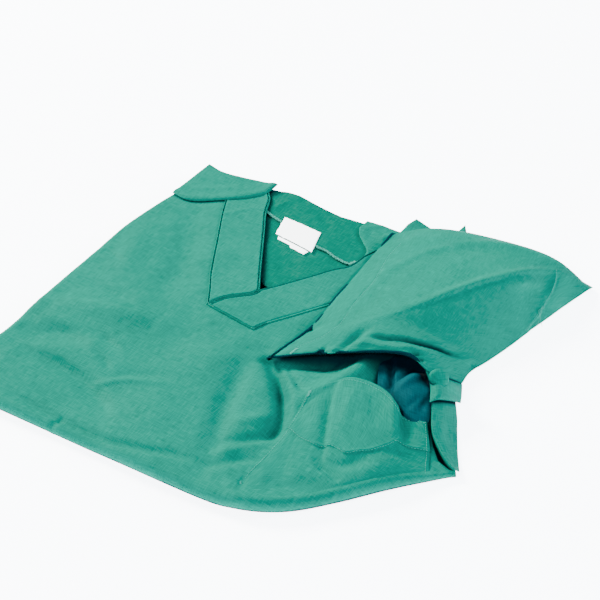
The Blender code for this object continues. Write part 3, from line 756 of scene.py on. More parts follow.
def dense_rows(sections, around):
    """Each section of a table as a smooth row with this many points."""
    return [catmull_rom(np.asarray(section, float) * MM, around) for section in sections]


# Objects


def settings():
    return bpy.context.scene.tunic


def add_object(name, data):
    """Puts an object with this mesh, lamp or camera in the scene."""
    obj = bpy.data.objects.new(name, data)
    bpy.context.scene.collection.objects.link(obj)
    return obj


def cloth_object(name, points, faces, flat, material):
    """A smooth mesh where the solids stand, with its flat cut as its UV map in metres."""
    mesh = bpy.data.meshes.new(name)
    places = [tuple(p) for p in points + np.array(CENTRING)]
    mesh.from_pydata(places, [], [tuple(map(int, face)) for face in faces])
    mesh.materials.append(material)
    layer = mesh.uv_layers.new(name="cloth")
    corners = np.array([loop.vertex_index for loop in mesh.loops])
    layer.data.foreach_set("uv", flat[corners].astype(np.float32).ravel())
    mesh.shade_smooth()
    return add_object(name, mesh)


def thicken(obj, wall):
    """Gives a sheet its wall, below its outer side."""
    solid = obj.modifiers.new("wall", "SOLIDIFY")
    solid.thickness = wall
    solid.offset = -1
    return obj


def place(obj, node, slot):
    """Lets a piece ride on the body and stand for a solid."""
    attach(obj, "root")
    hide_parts(node)
    return obj


def edge_profile(flat, ring, groove):
    """The height of a turned edge, with or without its groove of stitches."""
    far = nearest_on(flat, closed(ring))[0] / MM
    rim = -RIM_DROP * (1 - smooth_step(far / RIM_WIDTH))
    if not groove:
        return rim * MM
    sunk = -STITCH_SINK * bell(far, STITCH_WIDTH, groove)
    puff = sum(height * bell(far, width, middle) for height, middle, width in EDGE_PUFFS)
    return (rim + sunk + puff) * MM


def laid_piece(name, ring, step, lift, material, groove=0, extra=None, faint=None):
    """A piece that lies on the front's surface: lift is its outer side's height above it, in mm.

    The edge along faint isn't turned or stitched, and lies close to what is under it.
    """
    flat, tris = triangulate(ring, step, inset_rings(ring, STITCHED_ROWS if groove else PLAIN_ROWS))
    flat, tris = subdivided(flat, tris)
    profile = edge_profile(flat, ring, groove)
    if faint is not None:
        shown = smooth_step(nearest_on(flat, curved(faint, 4 * MM))[0] / FAINT_REACH)
        profile = profile * shown - FAINT_DROP * (1 - shown)
    z = front_height(flat) + lift * MM + profile
    if extra is not None:
        z = z + extra(flat)
    return thicken(cloth_object(name, np.column_stack([flat, z]), tris, flat, material), CLOTH)


def lofted(name, rows, along, material, folds, ripples=(), seed=0, on_front=False, shape=None):
    """A sheet through rows of points, with its folds raised along its own normals.

    One that lies on the front has heights above it, and is sewn down along its last rows.
    """
    grid = catmull_rom(np.stack(rows), along)
    count = grid.shape[1]
    plan = grid[:, :, :2].reshape(-1, 2).copy()
    if on_front:
        grid[:, :, 2] += front_height(plan, ridge=False).reshape(along, count)
    raised = folds_at(plan, folds) + ripples_at(plan, ripples, seed)
    if shape is not None:
        raised = raised + shape(plan)
    grid = grid + grid_normals(grid) * raised.reshape(along, count, 1)
    low = CLOTH
    if on_front:
        sewn_down = smooth_step((np.linspace(0, 1, along)[:, None] - SEWN_FROM) / SEWN_SPAN)
        front = front_height(grid[:, :, :2].reshape(-1, 2)).reshape(along, count)
        low = front + (LOOSE_ABOVE - SEWN_PULL * sewn_down) * MM
        grid[:, :, 2] -= SEWN_SINK * sewn_down
    grid[:, :, 2] = np.maximum(grid[:, :, 2], low)
    points = grid.reshape(-1, 3)
    tris = grid_triangles(along, count)
    across = np.cumsum(np.linalg.norm(np.diff(grid, axis=1, prepend=grid[:, :1]), axis=2), axis=1)
    up = np.cumsum(np.linalg.norm(np.diff(grid, axis=0, prepend=grid[:1]), axis=2), axis=0)
    flat = np.stack([across, up], axis=2).reshape(-1, 2)
    if plan_areas(points, tris).sum() < 0:
        tris = tris[:, ::-1]
    return thicken(cloth_object(name, points, tris, flat, material), CLOTH)


# Materials


def node(tree, kind, options=(), inputs=()):
    """Adds a node with its options, and its inputs as values or as other nodes' outputs."""
    made = tree.nodes.new(kind)
    for key, value in dict(options).items():
        setattr(made, key, value)
    for key, value in dict(inputs).items():
        if isinstance(value, bpy.types.NodeSocket):
            tree.links.new(value, made.inputs[key])
        else:
            made.inputs[key].default_value = value
    return made


def empty_material(name):
    material = bpy.data.materials.get(name) or bpy.data.materials.new(name)
    material.use_nodes = True
    material.node_tree.nodes.clear()
    return material


def poplin(name, colour, pitch):
    """Poplin, polyester and cotton in a tight plain weave: matt, faintly streaked along its threads.

    The real threads are 0.25 mm apart, too fine to show, so the streaks are drawn at pitch. Cloth deep
    in a fold or below another piece is drawn darker and bluer where it lies less open: painted shade.
    """
    material = empty_material(name)
    tree = material.node_tree
    uv = node(tree, "ShaderNodeUVMap", {"uv_map": "cloth"}).outputs["UV"]
    place_at = node(tree, "ShaderNodeTexCoord").outputs["Object"]
    streaks = []
    for long_way in ((STREAK_LENGTH * pitch, pitch, 1), (pitch, STREAK_LENGTH * pitch, 1)):
        scale = tuple(1 / s for s in long_way)
        turned = node(tree, "ShaderNodeMapping", {}, {"Vector": uv, "Scale": scale}).outputs["Vector"]
        noise = node(tree, "ShaderNodeTexNoise", {}, {"Vector": turned, "Scale": 1.0, "Detail": 2.0})
        streaks.append(noise.outputs["Fac"])
    weave = node(tree, "ShaderNodeMath", {"operation": "ADD"}, dict(enumerate(streaks))).outputs[0]
    patches = node(tree, "ShaderNodeTexNoise", {}, {
        "Vector": place_at, "Scale": 1 / PATCH_SIZE, "Detail": 3.0,
    })
    tone = node(tree, "ShaderNodeMath", {"operation": "MULTIPLY_ADD"}, {
        0: patches.outputs["Fac"], 1: PATCH_SHARE, 2: weave,
    }).outputs[0]
    span = node(tree, "ShaderNodeMapRange", {}, {
        "Value": tone, "From Min": TONE_RANGE[0], "From Max": TONE_RANGE[1],
    }).outputs[0]
    dark = tuple(c * DARK_THREADS for c in colour) + (1,)
    light = tuple(min(1, c * LIGHT_THREADS) for c in colour) + (1,)
    threads = node(tree, "ShaderNodeMix", {"data_type": "RGBA"}, {
        0: span, 6: dark, 7: light,
    }).outputs[2]
    # Painted shade: where a point lies less open, the cloth is mixed towards a darker, bluer colour
    openness = node(tree, "ShaderNodeAttribute", {"attribute_name": "openness"}).outputs["Fac"]
    lit = node(tree, "ShaderNodeMapRange", {"interpolation_type": "SMOOTHSTEP"}, {
        "Value": openness, "From Min": PAINTED_SHADE_UP_TO, "From Max": 1.0,
    }).outputs[0]
    deep = tuple(c * share for c, share in zip(colour, PAINTED_SHADE_SHARES)) + (1,)
    shade = node(tree, "ShaderNodeMix", {"data_type": "RGBA"}, {
        0: lit, 6: deep, 7: threads,
    }).outputs[2]
    bump = node(tree, "ShaderNodeBump", {}, {
        "Height": weave, "Strength": 0.25, "Distance": THREAD_DEPTH,
    })
    shader = node(tree, "ShaderNodeBsdfPrincipled", {}, {
        "Base Color": shade, "Roughness": 0.62, "Specular IOR Level": 0.01, "IOR": 1.5,
        "Specular Tint": linear("#3FFFE7") + (1,), "Normal": bump.outputs["Normal"],
    })
    node(tree, "ShaderNodeOutputMaterial", {}, {"Surface": shader.outputs[0]})
    return material


def plain(name, colour, roughness, specular, sheen=0.0, glow=0.0, glow_colour="#FFFFFF"):
    """One even colour, that glows by itself where glow is given."""
    material = empty_material(name)
    tree = material.node_tree
    shader = node(tree, "ShaderNodeBsdfPrincipled", {}, {
        "Base Color": tuple(colour) + (1,), "Roughness": roughness, "Specular IOR Level": specular,
        "Sheen Weight": sheen, "Emission Color": linear(glow_colour) + (1,), "Emission Strength": glow,
    })
    node(tree, "ShaderNodeOutputMaterial", {}, {"Surface": shader.outputs[0]})
    return material


def outside_poplin():
    # The outside is the full green of the dye
    return poplin("Poplin, outside", settings().cloth_colour, settings().weave_pitch)


def inside_poplin():
    # The inside is the same cloth, drawn a little darker as painted shade for the neck
    return poplin("Poplin, inside", settings().inside_shaded_colour, settings().weave_pitch)


def mouth_shade_poplin():
    # Painted shade: this is the same poplin, drawn darker and bluer because it lies deep in the
    # sleeve's mouth, where little light gets
    return poplin("Poplin, painted shade in the mouth", settings().mouth_shade_colour, settings().weave_pitch)


def label_satin():
    # Satin label: smooth polyester ribbon with a low gloss, which glows a little as painted light to
    # stay bright white
    return plain("Label satin", settings().label_colour, roughness=0.45, specular=0.5, sheen=0.1,
                 glow=LABEL_PAINTED_GLOW, glow_colour="#F9FCFF")


def table_top():
    # Matt white laminate, lit from within a little so that it burns out as in a studio
    return plain("Matt white table top", settings().floor_colour, roughness=0.6, specular=0.2,
                 glow=TABLE_GLOW, glow_colour="#F3F9FF")


def polyester_thread():
    # Polyester thread: spun and twisted, so soft in gloss, a little lighter than the cloth
    return plain("Polyester thread", settings().thread_colour, roughness=0.7, specular=0.15)


# Sewing


def stitch_tree():
    """Geometry Nodes: small rounded stitches set along a path that lies on the cloth."""
    name = "Stitches along a path"
    if name in bpy.data.node_groups:
        return bpy.data.node_groups[name]
    tree = bpy.data.node_groups.new(name, "GeometryNodeTree")
    face = tree.interface
    face.new_socket("Path", in_out="INPUT", socket_type="NodeSocketGeometry")
    for label in ("Pitch", "Length", "Radius", "Turn", "Unevenness"):
        face.new_socket(label, in_out="INPUT", socket_type="NodeSocketFloat")
    face.new_socket("Seed", in_out="INPUT", socket_type="NodeSocketInt")
    face.new_socket("Thread", in_out="INPUT", socket_type="NodeSocketMaterial")
    face.new_socket("Stitches", in_out="OUTPUT", socket_type="NodeSocketGeometry")
    given = node(tree, "NodeGroupInput").outputs
    curve = node(tree, "GeometryNodeMeshToCurve", {}, {"Mesh": given["Path"]})
    level = node(tree, "GeometryNodeSetCurveNormal", {"mode": "Z_UP"}, {"Curve": curve.outputs[0]})
    spots = node(tree, "GeometryNodeCurveToPoints", {"mode": "LENGTH"},
                 {"Curve": level.outputs[0], "Length": given["Pitch"]})
    ball = node(tree, "GeometryNodeMeshUVSphere", {}, {"Segments": 6, "Rings": 4, "Radius": 1.0})
    half = node(tree, "ShaderNodeMath", {"operation": "MULTIPLY"}, {0: given["Length"], 1: 0.5})
    size = node(tree, "ShaderNodeCombineXYZ", {}, {
        0: given["Radius"], 1: given["Radius"], 2: half.outputs[0],
    })
    stitch = node(tree, "GeometryNodeTransform", {}, {
        "Geometry": ball.outputs["Mesh"], "Scale": size.outputs[0],
    })
    laid = node(tree, "GeometryNodeInstanceOnPoints", {}, {
        "Points": spots.outputs["Points"], "Instance": stitch.outputs[0],
        "Rotation": spots.outputs["Rotation"],
    })
    turn = node(tree, "FunctionNodeRandomValue", {"data_type": "FLOAT"}, {"Seed": given["Seed"]})
    # The limits have the same names for each kind of value, so the sockets for numbers are picked out
    limits = {socket.name: socket for socket in turn.inputs if socket.type == "VALUE"}
    for limit, operation in (("Min", "SUBTRACT"), ("Max", "ADD")):
        lean = node(tree, "ShaderNodeMath", {"operation": operation}, {
            0: given["Turn"], 1: given["Unevenness"],
        })
        tree.links.new(lean.outputs[0], limits[limit])
    value = [socket for socket in turn.outputs if socket.type == "VALUE"][0]
    twist = node(tree, "ShaderNodeCombineXYZ", {}, {1: value})
    spun = node(tree, "GeometryNodeRotateInstances", {}, {
        "Instances": laid.outputs[0], "Rotation": twist.outputs[0],
    })
    real = node(tree, "GeometryNodeRealizeInstances", {}, {"Geometry": spun.outputs[0]})
    soft = node(tree, "GeometryNodeSetShadeSmooth", {}, {"Geometry": real.outputs[0]})
    done = node(tree, "GeometryNodeSetMaterial", {}, {
        "Geometry": soft.outputs[0], "Material": given["Thread"],
    })
    node(tree, "NodeGroupOutput", {}, {"Stitches": done.outputs[0]})
    return tree


def on_piece(piece, line, above):
    """A line drawn from above, laid this many millimetres over a piece's outer side."""
    mesh = piece.data
    tree = BVHTree.FromPolygons([v.co for v in mesh.vertices], [p.vertices for p in mesh.polygons])
    out = []
    for x, y in curved(mm(*line), 1.0 * MM):
        hit, _, _, _ = tree.ray_cast(Vector((x, y, 0.2)) + CENTRING, Vector((0, 0, -1)))
        if hit is not None:
            out.append((hit.x, hit.y, hit.z + above * MM))
    return out


def sewn(name, lines, pitch, length, radius, turn=0.0, uneven=4.0, seed=1):
    """Stitches along these lines as one plain mesh."""
    vertices, edges = [], []
    for line in lines:
        start = len(vertices)
        vertices += line
        edges += [(start + i, start + i + 1) for i in range(len(line) - 1)]
    mesh = bpy.data.meshes.new(name + "_path")
    mesh.from_pydata(vertices, edges, [])
    path = add_object(name + "_path", mesh)
    modifier = path.modifiers.new("stitches", "NODES")
    modifier.node_group = stitch_tree()
    thread = polyester_thread()
    values = {
        "Pitch": pitch * MM, "Length": length * MM, "Radius": radius * MM, "Turn": math.radians(turn),
        "Unevenness": math.radians(uneven), "Seed": seed, "Thread": thread,
    }
    for item in modifier.node_group.interface.items_tree:
        if item.item_type == "SOCKET" and item.in_out == "INPUT" and item.name in values:
            modifier[item.identifier] = values[item.name]
    bpy.context.view_layer.update()
    shape = path.evaluated_get(bpy.context.evaluated_depsgraph_get())
    made = bpy.data.meshes.new_from_object(shape)
    made.name = name
    bpy.data.objects.remove(path)
    if not made.polygons:
        raise RuntimeError(f"{name} made no stitches")
    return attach(add_object(name, made), "root")


def tube(name, lines, radius, material, sides=6):
    """Round threads through the given points."""
    vertices, faces = [], []
    for line in lines:
        points = catmull_rom(line, 8 * len(line))
        for i, (p, way) in enumerate(zip(points, np.gradient(points, axis=0))):
            way = Vector(way).normalized()
            across = way.cross(Vector((0, 0, 1)))
            across = (across if across.length > 1e-3 else way.cross(Vector((1, 0, 0)))).normalized()
            up = across.cross(way)
            start = len(vertices)
            for k in range(sides):
                a = 2 * math.pi * k / sides
                vertices.append(Vector(p) + (across * math.cos(a) + up * math.sin(a)) * radius)
            if i:
                pairs = [(start + k, start + (k + 1) % sides) for k in range(sides)]
                faces += [(a, b, b - sides, a - sides) for a, b in pairs]
        first = len(vertices) - sides * len(points)
        faces.append(tuple(first + k for k in range(sides)))
        faces.append(tuple(len(vertices) - 1 - k for k in range(sides)))
    mesh = bpy.data.meshes.new(name)
    mesh.from_pydata(vertices, [], faces)
    mesh.materials.append(material)
    mesh.shade_smooth()
    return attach(add_object(name, mesh), "root")


# Settings and operators


class TunicSettings(bpy.types.PropertyGroup):
    """Sizes and colours of the tunic."""

    cloth_colour: bpy.props.FloatVectorProperty(
        name="Cloth", description="Colour of the poplin's outside", size=3, subtype="COLOR",
        min=0, max=1, default=linear("#026050"))
    # The inside colour is the cloth's green, a little darker as painted shade
    inside_shaded_colour: bpy.props.FloatVectorProperty(
        name="Inside", description="Colour of the poplin's inside", size=3, subtype="COLOR",
        min=0, max=1, default=linear("#025142"))
    # The deep colour is painted shade: the same green, darker and bluer for the cloth inside the
    # sleeve's mouth
    mouth_shade_colour: bpy.props.FloatVectorProperty(
        name="Deep inside", description="Colour of the cloth inside the sleeve's mouth", size=3,
        subtype="COLOR", min=0, max=1, default=linear("#033A3F"))
    thread_colour: bpy.props.FloatVectorProperty(
        name="Thread", description="Colour of the sewing thread", size=3, subtype="COLOR",
        min=0, max=1, default=linear("#2C8270"))
    label_colour: bpy.props.FloatVectorProperty(
        name="Labels", description="Colour of the neck labels", size=3, subtype="COLOR",
        min=0, max=1, default=linear("#F6F6F6"))
    floor_colour: bpy.props.FloatVectorProperty(
        name="Table", description="Colour of the table top", size=3, subtype="COLOR",
        min=0, max=1, default=linear("#F4F4F6"))
    weave_pitch: bpy.props.FloatProperty(
        name="Weave pitch", description="Distance between the streaks of the weave", unit="LENGTH",
        default=0.9 * MM, min=0.2 * MM, max=5 * MM, precision=5)
    stitch_pitch: bpy.props.FloatProperty(
        name="Stitch pitch", description="Distance from one stitch to the next", unit="LENGTH",
        default=2.8 * MM, min=1 * MM, max=8 * MM, precision=5)
    thread_radius: bpy.props.FloatProperty(
        name="Thread radius", description="Half the sewing thread's thickness", unit="LENGTH",
        default=0.24 * MM, min=0.05 * MM, max=1 * MM, precision=5)


class TunicFoldedLayers(bpy.types.Operator):
    """Build the layers folded under the front"""

    bl_idname = "tunic.folded_layers"
    bl_label = "Folded layers"

    def execute(self, context):
        ring, within = rolled_outline(LIP_TURNS + (FILL_TURN,), RIM_STEP, LAYERS_EDGE)
        flat, tris = triangulate(ring, LAYERS_STEP, within, off_roll=True)
        flat, tris = subdivided(flat, tris)
        outwards = (np.abs(flat - RECESS_CENTRE) / RECESS_HALF).max(axis=1)
        recess = 1 - smooth_step((outwards - RECESS_FLAT) / RECESS_SLOPE)
        pit = PIT_DEPTH * bell(np.hypot(*(flat - PIT_CENTRE).T), PIT_REACH)
        top = rolled(flat, LAYER_DROP + NECK_RECESS * recess)
        _, _, along, side = nearest_on(flat, FRONT_EDGE)
        gap = (side < 0) & (along > 0) & (along < 0.97) & (flat[:, 0] > FRONT_EDGE[-1, 0])
        top[:, 2] -= pit + np.where(gap, GAP_DEPTH * stack_height(flat) / STACK, 0)
        centre, inward, radius, turn = roll_frame(flat)
        under = np.column_stack([flat, np.zeros(len(flat))])
        bent = turn > 0
        tuck = (radius - LAYER_DROP) * np.sin(FILL_TURN) * turn / FILL_TURN
        under[bent, :2] = (centre - inward * tuck[:, None])[bent]
        points, faces = layered_solid(flat, tris, top, under)
        cuts = np.vstack([flat] * (len(points) // len(flat)))
        obj = cloth_object("folded_layers", points, faces, cuts, outside_poplin())
        place(obj, "hidden_layers", "poplin_outside")
        return {"FINISHED"}


def layered_solid(flat, tris, top, under):
    """A closed body between two sides with the same triangles, with soft layers along its rim."""
    n = len(flat)
    directed = np.concatenate([tris[:, [0, 1]], tris[:, [1, 2]], tris[:, [2, 0]]])
    known = set(map(tuple, directed))
    rim = [(a, b) for a, b in known if (b, a) not in known]
    after = dict(rim)
    before = {b: a for a, b in rim}
    levels, faces = [top], [tuple(t) for t in tris]
    steps = 4 * LAYER_LOBES
    tall = smooth_step(2 * np.clip((top[:, 2] - under[:, 2]) / STACK, 0, 1) - 0.6)
    for k in range(1, steps):
        share = k / steps
        ring = top + (under - top) * share
        swell = LAYER_SWELL * (1 - 2 * np.sin(np.pi * share * LAYER_LOBES) ** 4) * tall
        for i in after:
            way = flat[after[i]] - flat[before[i]]
            way = way / np.linalg.norm(way)
            ring[i, 0] += way[1] * swell[i]
            ring[i, 1] -= way[0] * swell[i]
        levels.append(ring)
    levels.append(under)
    last = (len(levels) - 1) * n
    faces += [(int(c) + last, int(b) + last, int(a) + last) for a, b, c in tris]
    for a, b in rim:
        faces += [(k + b, k + a, k + n + a, k + n + b) for k in range(0, last, n)]
    return np.vstack(levels), faces


class TunicFrontPanel(bpy.types.Operator):
    """Build the front panel with its folds and the roll along its outer folds"""

    bl_idname = "tunic.front_panel"
    bl_label = "Front panel"

    def execute(self, context):
        ring, within = rolled_outline(LIP_TURNS, RIM_STEP, FRONT_EDGE)
        neck = np.vstack([curved(NECK_RIGHT, 5 * MM)[:-1], curved(NECK_LEFT, 5 * MM)])
        cut = inside(ring, np.vstack([neck, NECK_BACK]))
        first, last = np.flatnonzero(cut)[[0, -1]]
        ring = np.vstack([ring[:first], neck[::-1], ring[last + 1:]])
        flat, tris = triangulate(ring, FRONT_STEP, within, off_roll=True)
        flat, tris = subdivided(flat, tris, 2)
        obj = cloth_object("front_panel_cloth", rolled(flat, 0.0), tris, flat, outside_poplin())
        thicken(obj, CLOTH)
        place(obj, "front_panel", "poplin_outside")
        return {"FINISHED"}


class TunicNeckBand(bpy.types.Operator):
    """Build the two halves of the wide neck band, which meet at the mitre"""

    bl_idname = "tunic.neck_band"
    bl_label = "Neck band"

    def execute(self, context):
        def creased(flat):
            return folds_at(flat, BAND_CREASES)

        right = outline_of(
            [NECK_RIGHT, MITRE, BAND_OUT[::-1], BAND_SHOULDER[::-1], BAND_RIGHT_TOP], 4 * MM)
        mitre = MITRE[::-1] + np.array((MITRE_GAP, -MITRE_GAP))
        neck = NECK_LEFT[:6] + np.array((MITRE_GAP, 0))
        left = outline_of(
            [mitre, neck, BAND_LEFT_TOP[::-1], BAND_LEFT_OUT[::-1], BAND_FOOT[::-1]], 4 * MM)
        for name, cad, ring, size, area, faint in (
            ("neck_band_right_cloth", "neck_band_right", right, (0.09, 0.24), 0.0115, None),
            ("neck_band_left_cloth", "neck_band_left", left, (0.09, 0.22), 0.0105, BAND_LEFT_OUT[1:]),
        ):
            obj = laid_piece(name, ring, 5 * MM, BAND_LIFT, outside_poplin(), groove=STITCHES_IN,
                             extra=creased, faint=faint)
            place(obj, cad, "poplin_band")
        return {"FINISHED"}


class TunicInsideBack(bpy.types.Operator):
    """Build the inside of the back and the overlocked neck facing"""

    bl_idname = "tunic.inside_back"
    bl_label = "Inside of the back"

    def execute(self, context):
        def creased(flat):
            return folds_at(flat, BACK_CREASES)

        back = outline_of([FACING_TOP, BACK_SIDES[0], BACK_EDGE[::-1], BACK_SIDES[1]], 6 * MM)
        facing = outline_of([FACING_TOP, FACING_SIDE, FACING_EDGE], 5 * MM)
        for name, cad, ring, step, lift, under, size, area in (
            ("back_panel_cloth", "back_panel", back, 8 * MM, BACK_LIFT, "folded_layers",
             (0.18, 0.15), 0.0185),
            ("back_neck_facing_cloth", "back_neck_facing", facing, 5 * MM, FACING_LIFT,
             "back_panel_cloth", (0.18, 0.08), 0.0095),
        ):
            obj = laid_piece(name, ring, step, lift, inside_poplin(), extra=creased)
            place(obj, cad, "poplin_inside")
        return {"FINISHED"}


class TunicLabels(bpy.types.Operator):
    """Build the two bare white labels at the back of the neck"""

    bl_idname = "tunic.labels"
    bl_label = "Labels"

    def execute(self, context):
        def bowed(flat):
            across = (flat[:, 0] - CARE_LABEL[:, 0].mean()) / (25 * MM)
            return LABEL_BOW * (1 - across ** 2)

        for name, cad, points, lift, size, area in (
            ("care_label_satin", "care_label", CARE_LABEL, CARE_LIFT, (0.051, 0.034), 0.0017),
            ("size_label_satin", "size_label", SIZE_LABEL, SIZE_LIFT, (0.044, 0.014), 0.0003),
        ):
            obj = laid_piece(name, cornered(points, 3 * MM), 4 * MM, lift, label_satin(), extra=bowed)
            place(obj, cad, "label_satin")
        return {"FINISHED"}


class TunicShoulders(bpy.types.Operator):
    """Build the two shoulders that are turned over behind the neck"""

    bl_idname = "tunic.shoulders"
    bl_label = "Shoulders"

    def execute(self, context):
        def right_form(flat):
            """A soft roll along the fold, which curls up at its end by the neck."""
            far, _, along, _ = nearest_on(flat, curved(SHOULDER_RIGHT_FOLD, 4 * MM))
            roll = ROLL_RISE * bell(far, ROLL_WIDTH, ROLL_WIDTH) - ROLL_DIP * bell(far, DIP_WIDTH)
            by_neck = smooth_step((along - CURL_FROM) / CURL_SPAN)
            curl = CURL_RISE * by_neck * bell(far, CURL_WIDTH)
            return roll + curl + folds_at(flat, SHOULDER_CREASES)

        def left_form(flat):
            """The corner behind the sleeve, which rises towards the back."""
            x, y = (flat - SHOULDER_LEFT_START).T
            back = y - SHOULDER_LEFT_SLANT * x
            return SHOULDER_LEFT_RISE * smooth_step(back / SHOULDER_LEFT_REACH)

        right = outline_of([SHOULDER_RIGHT_FOLD, SHOULDER_RIGHT_BACK, SHOULDER_RIGHT_END], 5 * MM)
        left = cornered(SHOULDER_LEFT, 5 * MM)
        for side, ring, step, lift, form, size, area in (
            ("right", right, 7 * MM, SHOULDER_RIGHT_LIFT, right_form, (0.10, 0.08), 0.0051),
            ("left", left, 6 * MM, SHOULDER_LEFT_LIFT, left_form, (0.07, 0.06), 0.0022),
        ):
            obj = laid_piece(side + "_shoulder_cloth", ring, step, lift, outside_poplin(), extra=form)
            place(obj, side + "_shoulder", "poplin_outside")
        return {"FINISHED"}


class TunicLeftSleeve(bpy.types.Operator):
    """Build the left sleeve, turned over the chest as an arch"""

    bl_idname = "tunic.left_sleeve"
    bl_label = "Left sleeve"

    def execute(self, context):
        hem = curved(mm(*[row[0][:2] for row in SLEEVE_SECTIONS]), 3 * MM)
        mouth = curved(mm(*[p[:2] for p in SLEEVE_SECTIONS[0]]), 3 * MM)
        seam = curved(mm(*SLEEVE_SEAM), 3 * MM)

        def form(plan):
            """Edges that curl down, and a step down beyond the seam that fades at both its ends."""
            near_hem, near_mouth = nearest_on(plan, hem)[0], nearest_on(plan, mouth)[0]
            _, _, along, side = nearest_on(plan, seam)
            ends = smooth_step(along / SEAM_FADES[0]) * smooth_step((1 - along) / SEAM_FADES[1])
            beyond = smooth_step(side / SEAM_WIDTH) * ends
            curl = -HEM_CURL * bell(near_hem, EDGE_WIDTH) - MOUTH_CURL * bell(near_mouth, EDGE_WIDTH)
            return (curl + SEAM_STEP * beyond) * MM

        turned = []
        for row in dense_rows(SLEEVE_SECTIONS, SLEEVE_MESH[0]):
            # The hem turns under less near its corner at the mouth
            up = smooth_step((row[0, 1] - HEM_CORNER) / HEM_CORNER_REACH)
            full = HEM_LEAST + (1 - HEM_LEAST) * up
            turned.append(np.vstack([row[:1] + HEM_TUCK * full, row]))
        # The mouth's edge turns under as well, another way at its low end
        low = smooth_step((turned[0][:, :1] - TUCK_CHANGE[0]) / (TUCK_CHANGE[1] - TUCK_CHANGE[0]))
        rows = [turned[0] + MOUTH_TUCK * (1 - low) + MOUTH_TUCK_LOW * low] + turned
        obj = lofted("left_sleeve_cloth", rows, SLEEVE_MESH[1], outside_poplin(), SLEEVE_FOLDS,
                     SLEEVE_RIPPLES, seed=11, shape=form)
        place(obj, "left_sleeve", "poplin_outside")
        return {"FINISHED"}


class TunicUnderarm(bpy.types.Operator):
    """Build the crumpled underarm and the left side that tapers to the corner"""

    bl_idname = "tunic.underarm"
    bl_label = "Underarm and side"

    def execute(self, context):
        first = dense_rows(SLEEVE_SECTIONS, UNDERARM_MESH[0])[0]
        edge = first[first[:, 0] > UNDERARM_START] + UNDERARM_STEP
        rows = [edge] + dense_rows(UNDERARM_SECTIONS, len(edge))
        rows.append(rows[-1] + UNDERARM_TUCK)
        obj = lofted("left_underarm_cloth", rows, UNDERARM_MESH[1], outside_poplin(), UNDERARM_FOLDS)
        place(obj, "left_underarm", "poplin_outside")
        tuck = round_tuck()
        side = dense_rows(SIDE_SECTIONS, SIDE_MESH[0])
        side = [np.vstack([row[:1] + SIDE_TUCK, row]) for row in side]
        obj = lofted("left_side_cloth", side, SIDE_MESH[1], outside_poplin(), SIDE_FOLDS)
        place(obj, "left_side", "poplin_outside")
        return {"FINISHED"}


def round_tuck():
    """A puffed round of cloth with a curved crease across it and a skirt below."""
    rings, around = 14, 40
    crease_x, crease_y, crease_radius, crease_width = TUCK_CREASE
    across = TUCK_FACING.cross(Vector((0, 0, 1))).normalized()
    up = across.cross(TUCK_FACING)
    points, flat = [], []
    for r in range(1, rings + 2):
        share = math.sin(math.pi / 2 * min(r, rings) / rings)
        for k in range(around):
            a = 2 * math.pi * k / around
            x, y = share * math.cos(a), share * math.sin(a)
            away = math.hypot(x - crease_x, y - crease_y)
            crease = TUCK_CREASE_DEPTH * bell(away, crease_width, crease_radius)
            z = TUCK_HEIGHT * math.sqrt(max(0.0, 1 - share ** 2)) - crease
            if r > rings:
                z = -TUCK_SKIRT
            reach = TUCK_RADIUS * (1 + TUCK_OVAL * math.sin(2 * a + 0.6))
            points.append(Vector(TUCK_CENTRE) + across * x * reach + up * y * reach + TUCK_FACING * z)
            cut = reach + max(0.0, -z)
            flat.append((x * cut, y * cut))
    faces = [tuple(reversed(range(around)))]
    for r in range(rings):
        for k in range(around):
            a, b = r * around + k, r * around + (k + 1) % around
            faces.append((a, b, b + around, a + around))
    obj = cloth_object("underarm_tuck_cloth", np.array(points), faces, np.array(flat), outside_poplin())
    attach(obj, "root")
    return obj


class TunicMouthCloth(bpy.types.Operator):
    """Build the pleated cloth of the side seam that shows inside the sleeve's mouth"""

    bl_idname = "tunic.mouth_cloth"
    bl_label = "Cloth in the sleeve's mouth"

    def execute(self, context):
        rows = dense_rows(MOUTH_CLOTH_SECTIONS, MOUTH_MESH[0])
        # This cloth is drawn in the poplin with painted shade
        obj = lofted("side_seam_cloth", rows, MOUTH_MESH[1], mouth_shade_poplin(), MOUTH_CLOTH_FOLDS,
                     MOUTH_CLOTH_RIPPLES, seed=31)
        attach(obj, "root")
        return {"FINISHED"}


class TunicChestPocket(bpy.types.Operator):
    """Build the chest pocket with its deep turned hem and open mouth"""

    bl_idname = "tunic.chest_pocket"
    bl_label = "Chest pocket"

    def execute(self, context):
        hem = curved(mm(*POCKET_HEM_LINE), 3 * MM)

        def form(plan):
            """The turned hem stands higher than the rest, with a lip along its stitches."""
            side = nearest_on(plan, hem)[3]
            lip = LIP_RISE * bell(side / MM, LIP_WIDTH, LIP_IN)
            return (POCKET_HEM_STEP * smooth_step(side / POCKET_HEM_SLOPE + 0.5) + lip) * MM

        rows = dense_rows(POCKET_SECTIONS, POCKET_MESH[0])
        obj = lofted("chest_pocket_cloth", rows, POCKET_MESH[1], outside_poplin(), POCKET_FOLDS,
                     POCKET_RIPPLES, seed=21, on_front=True, shape=form)
        place(obj, "chest_pocket", "poplin_outside")
        return {"FINISHED"}


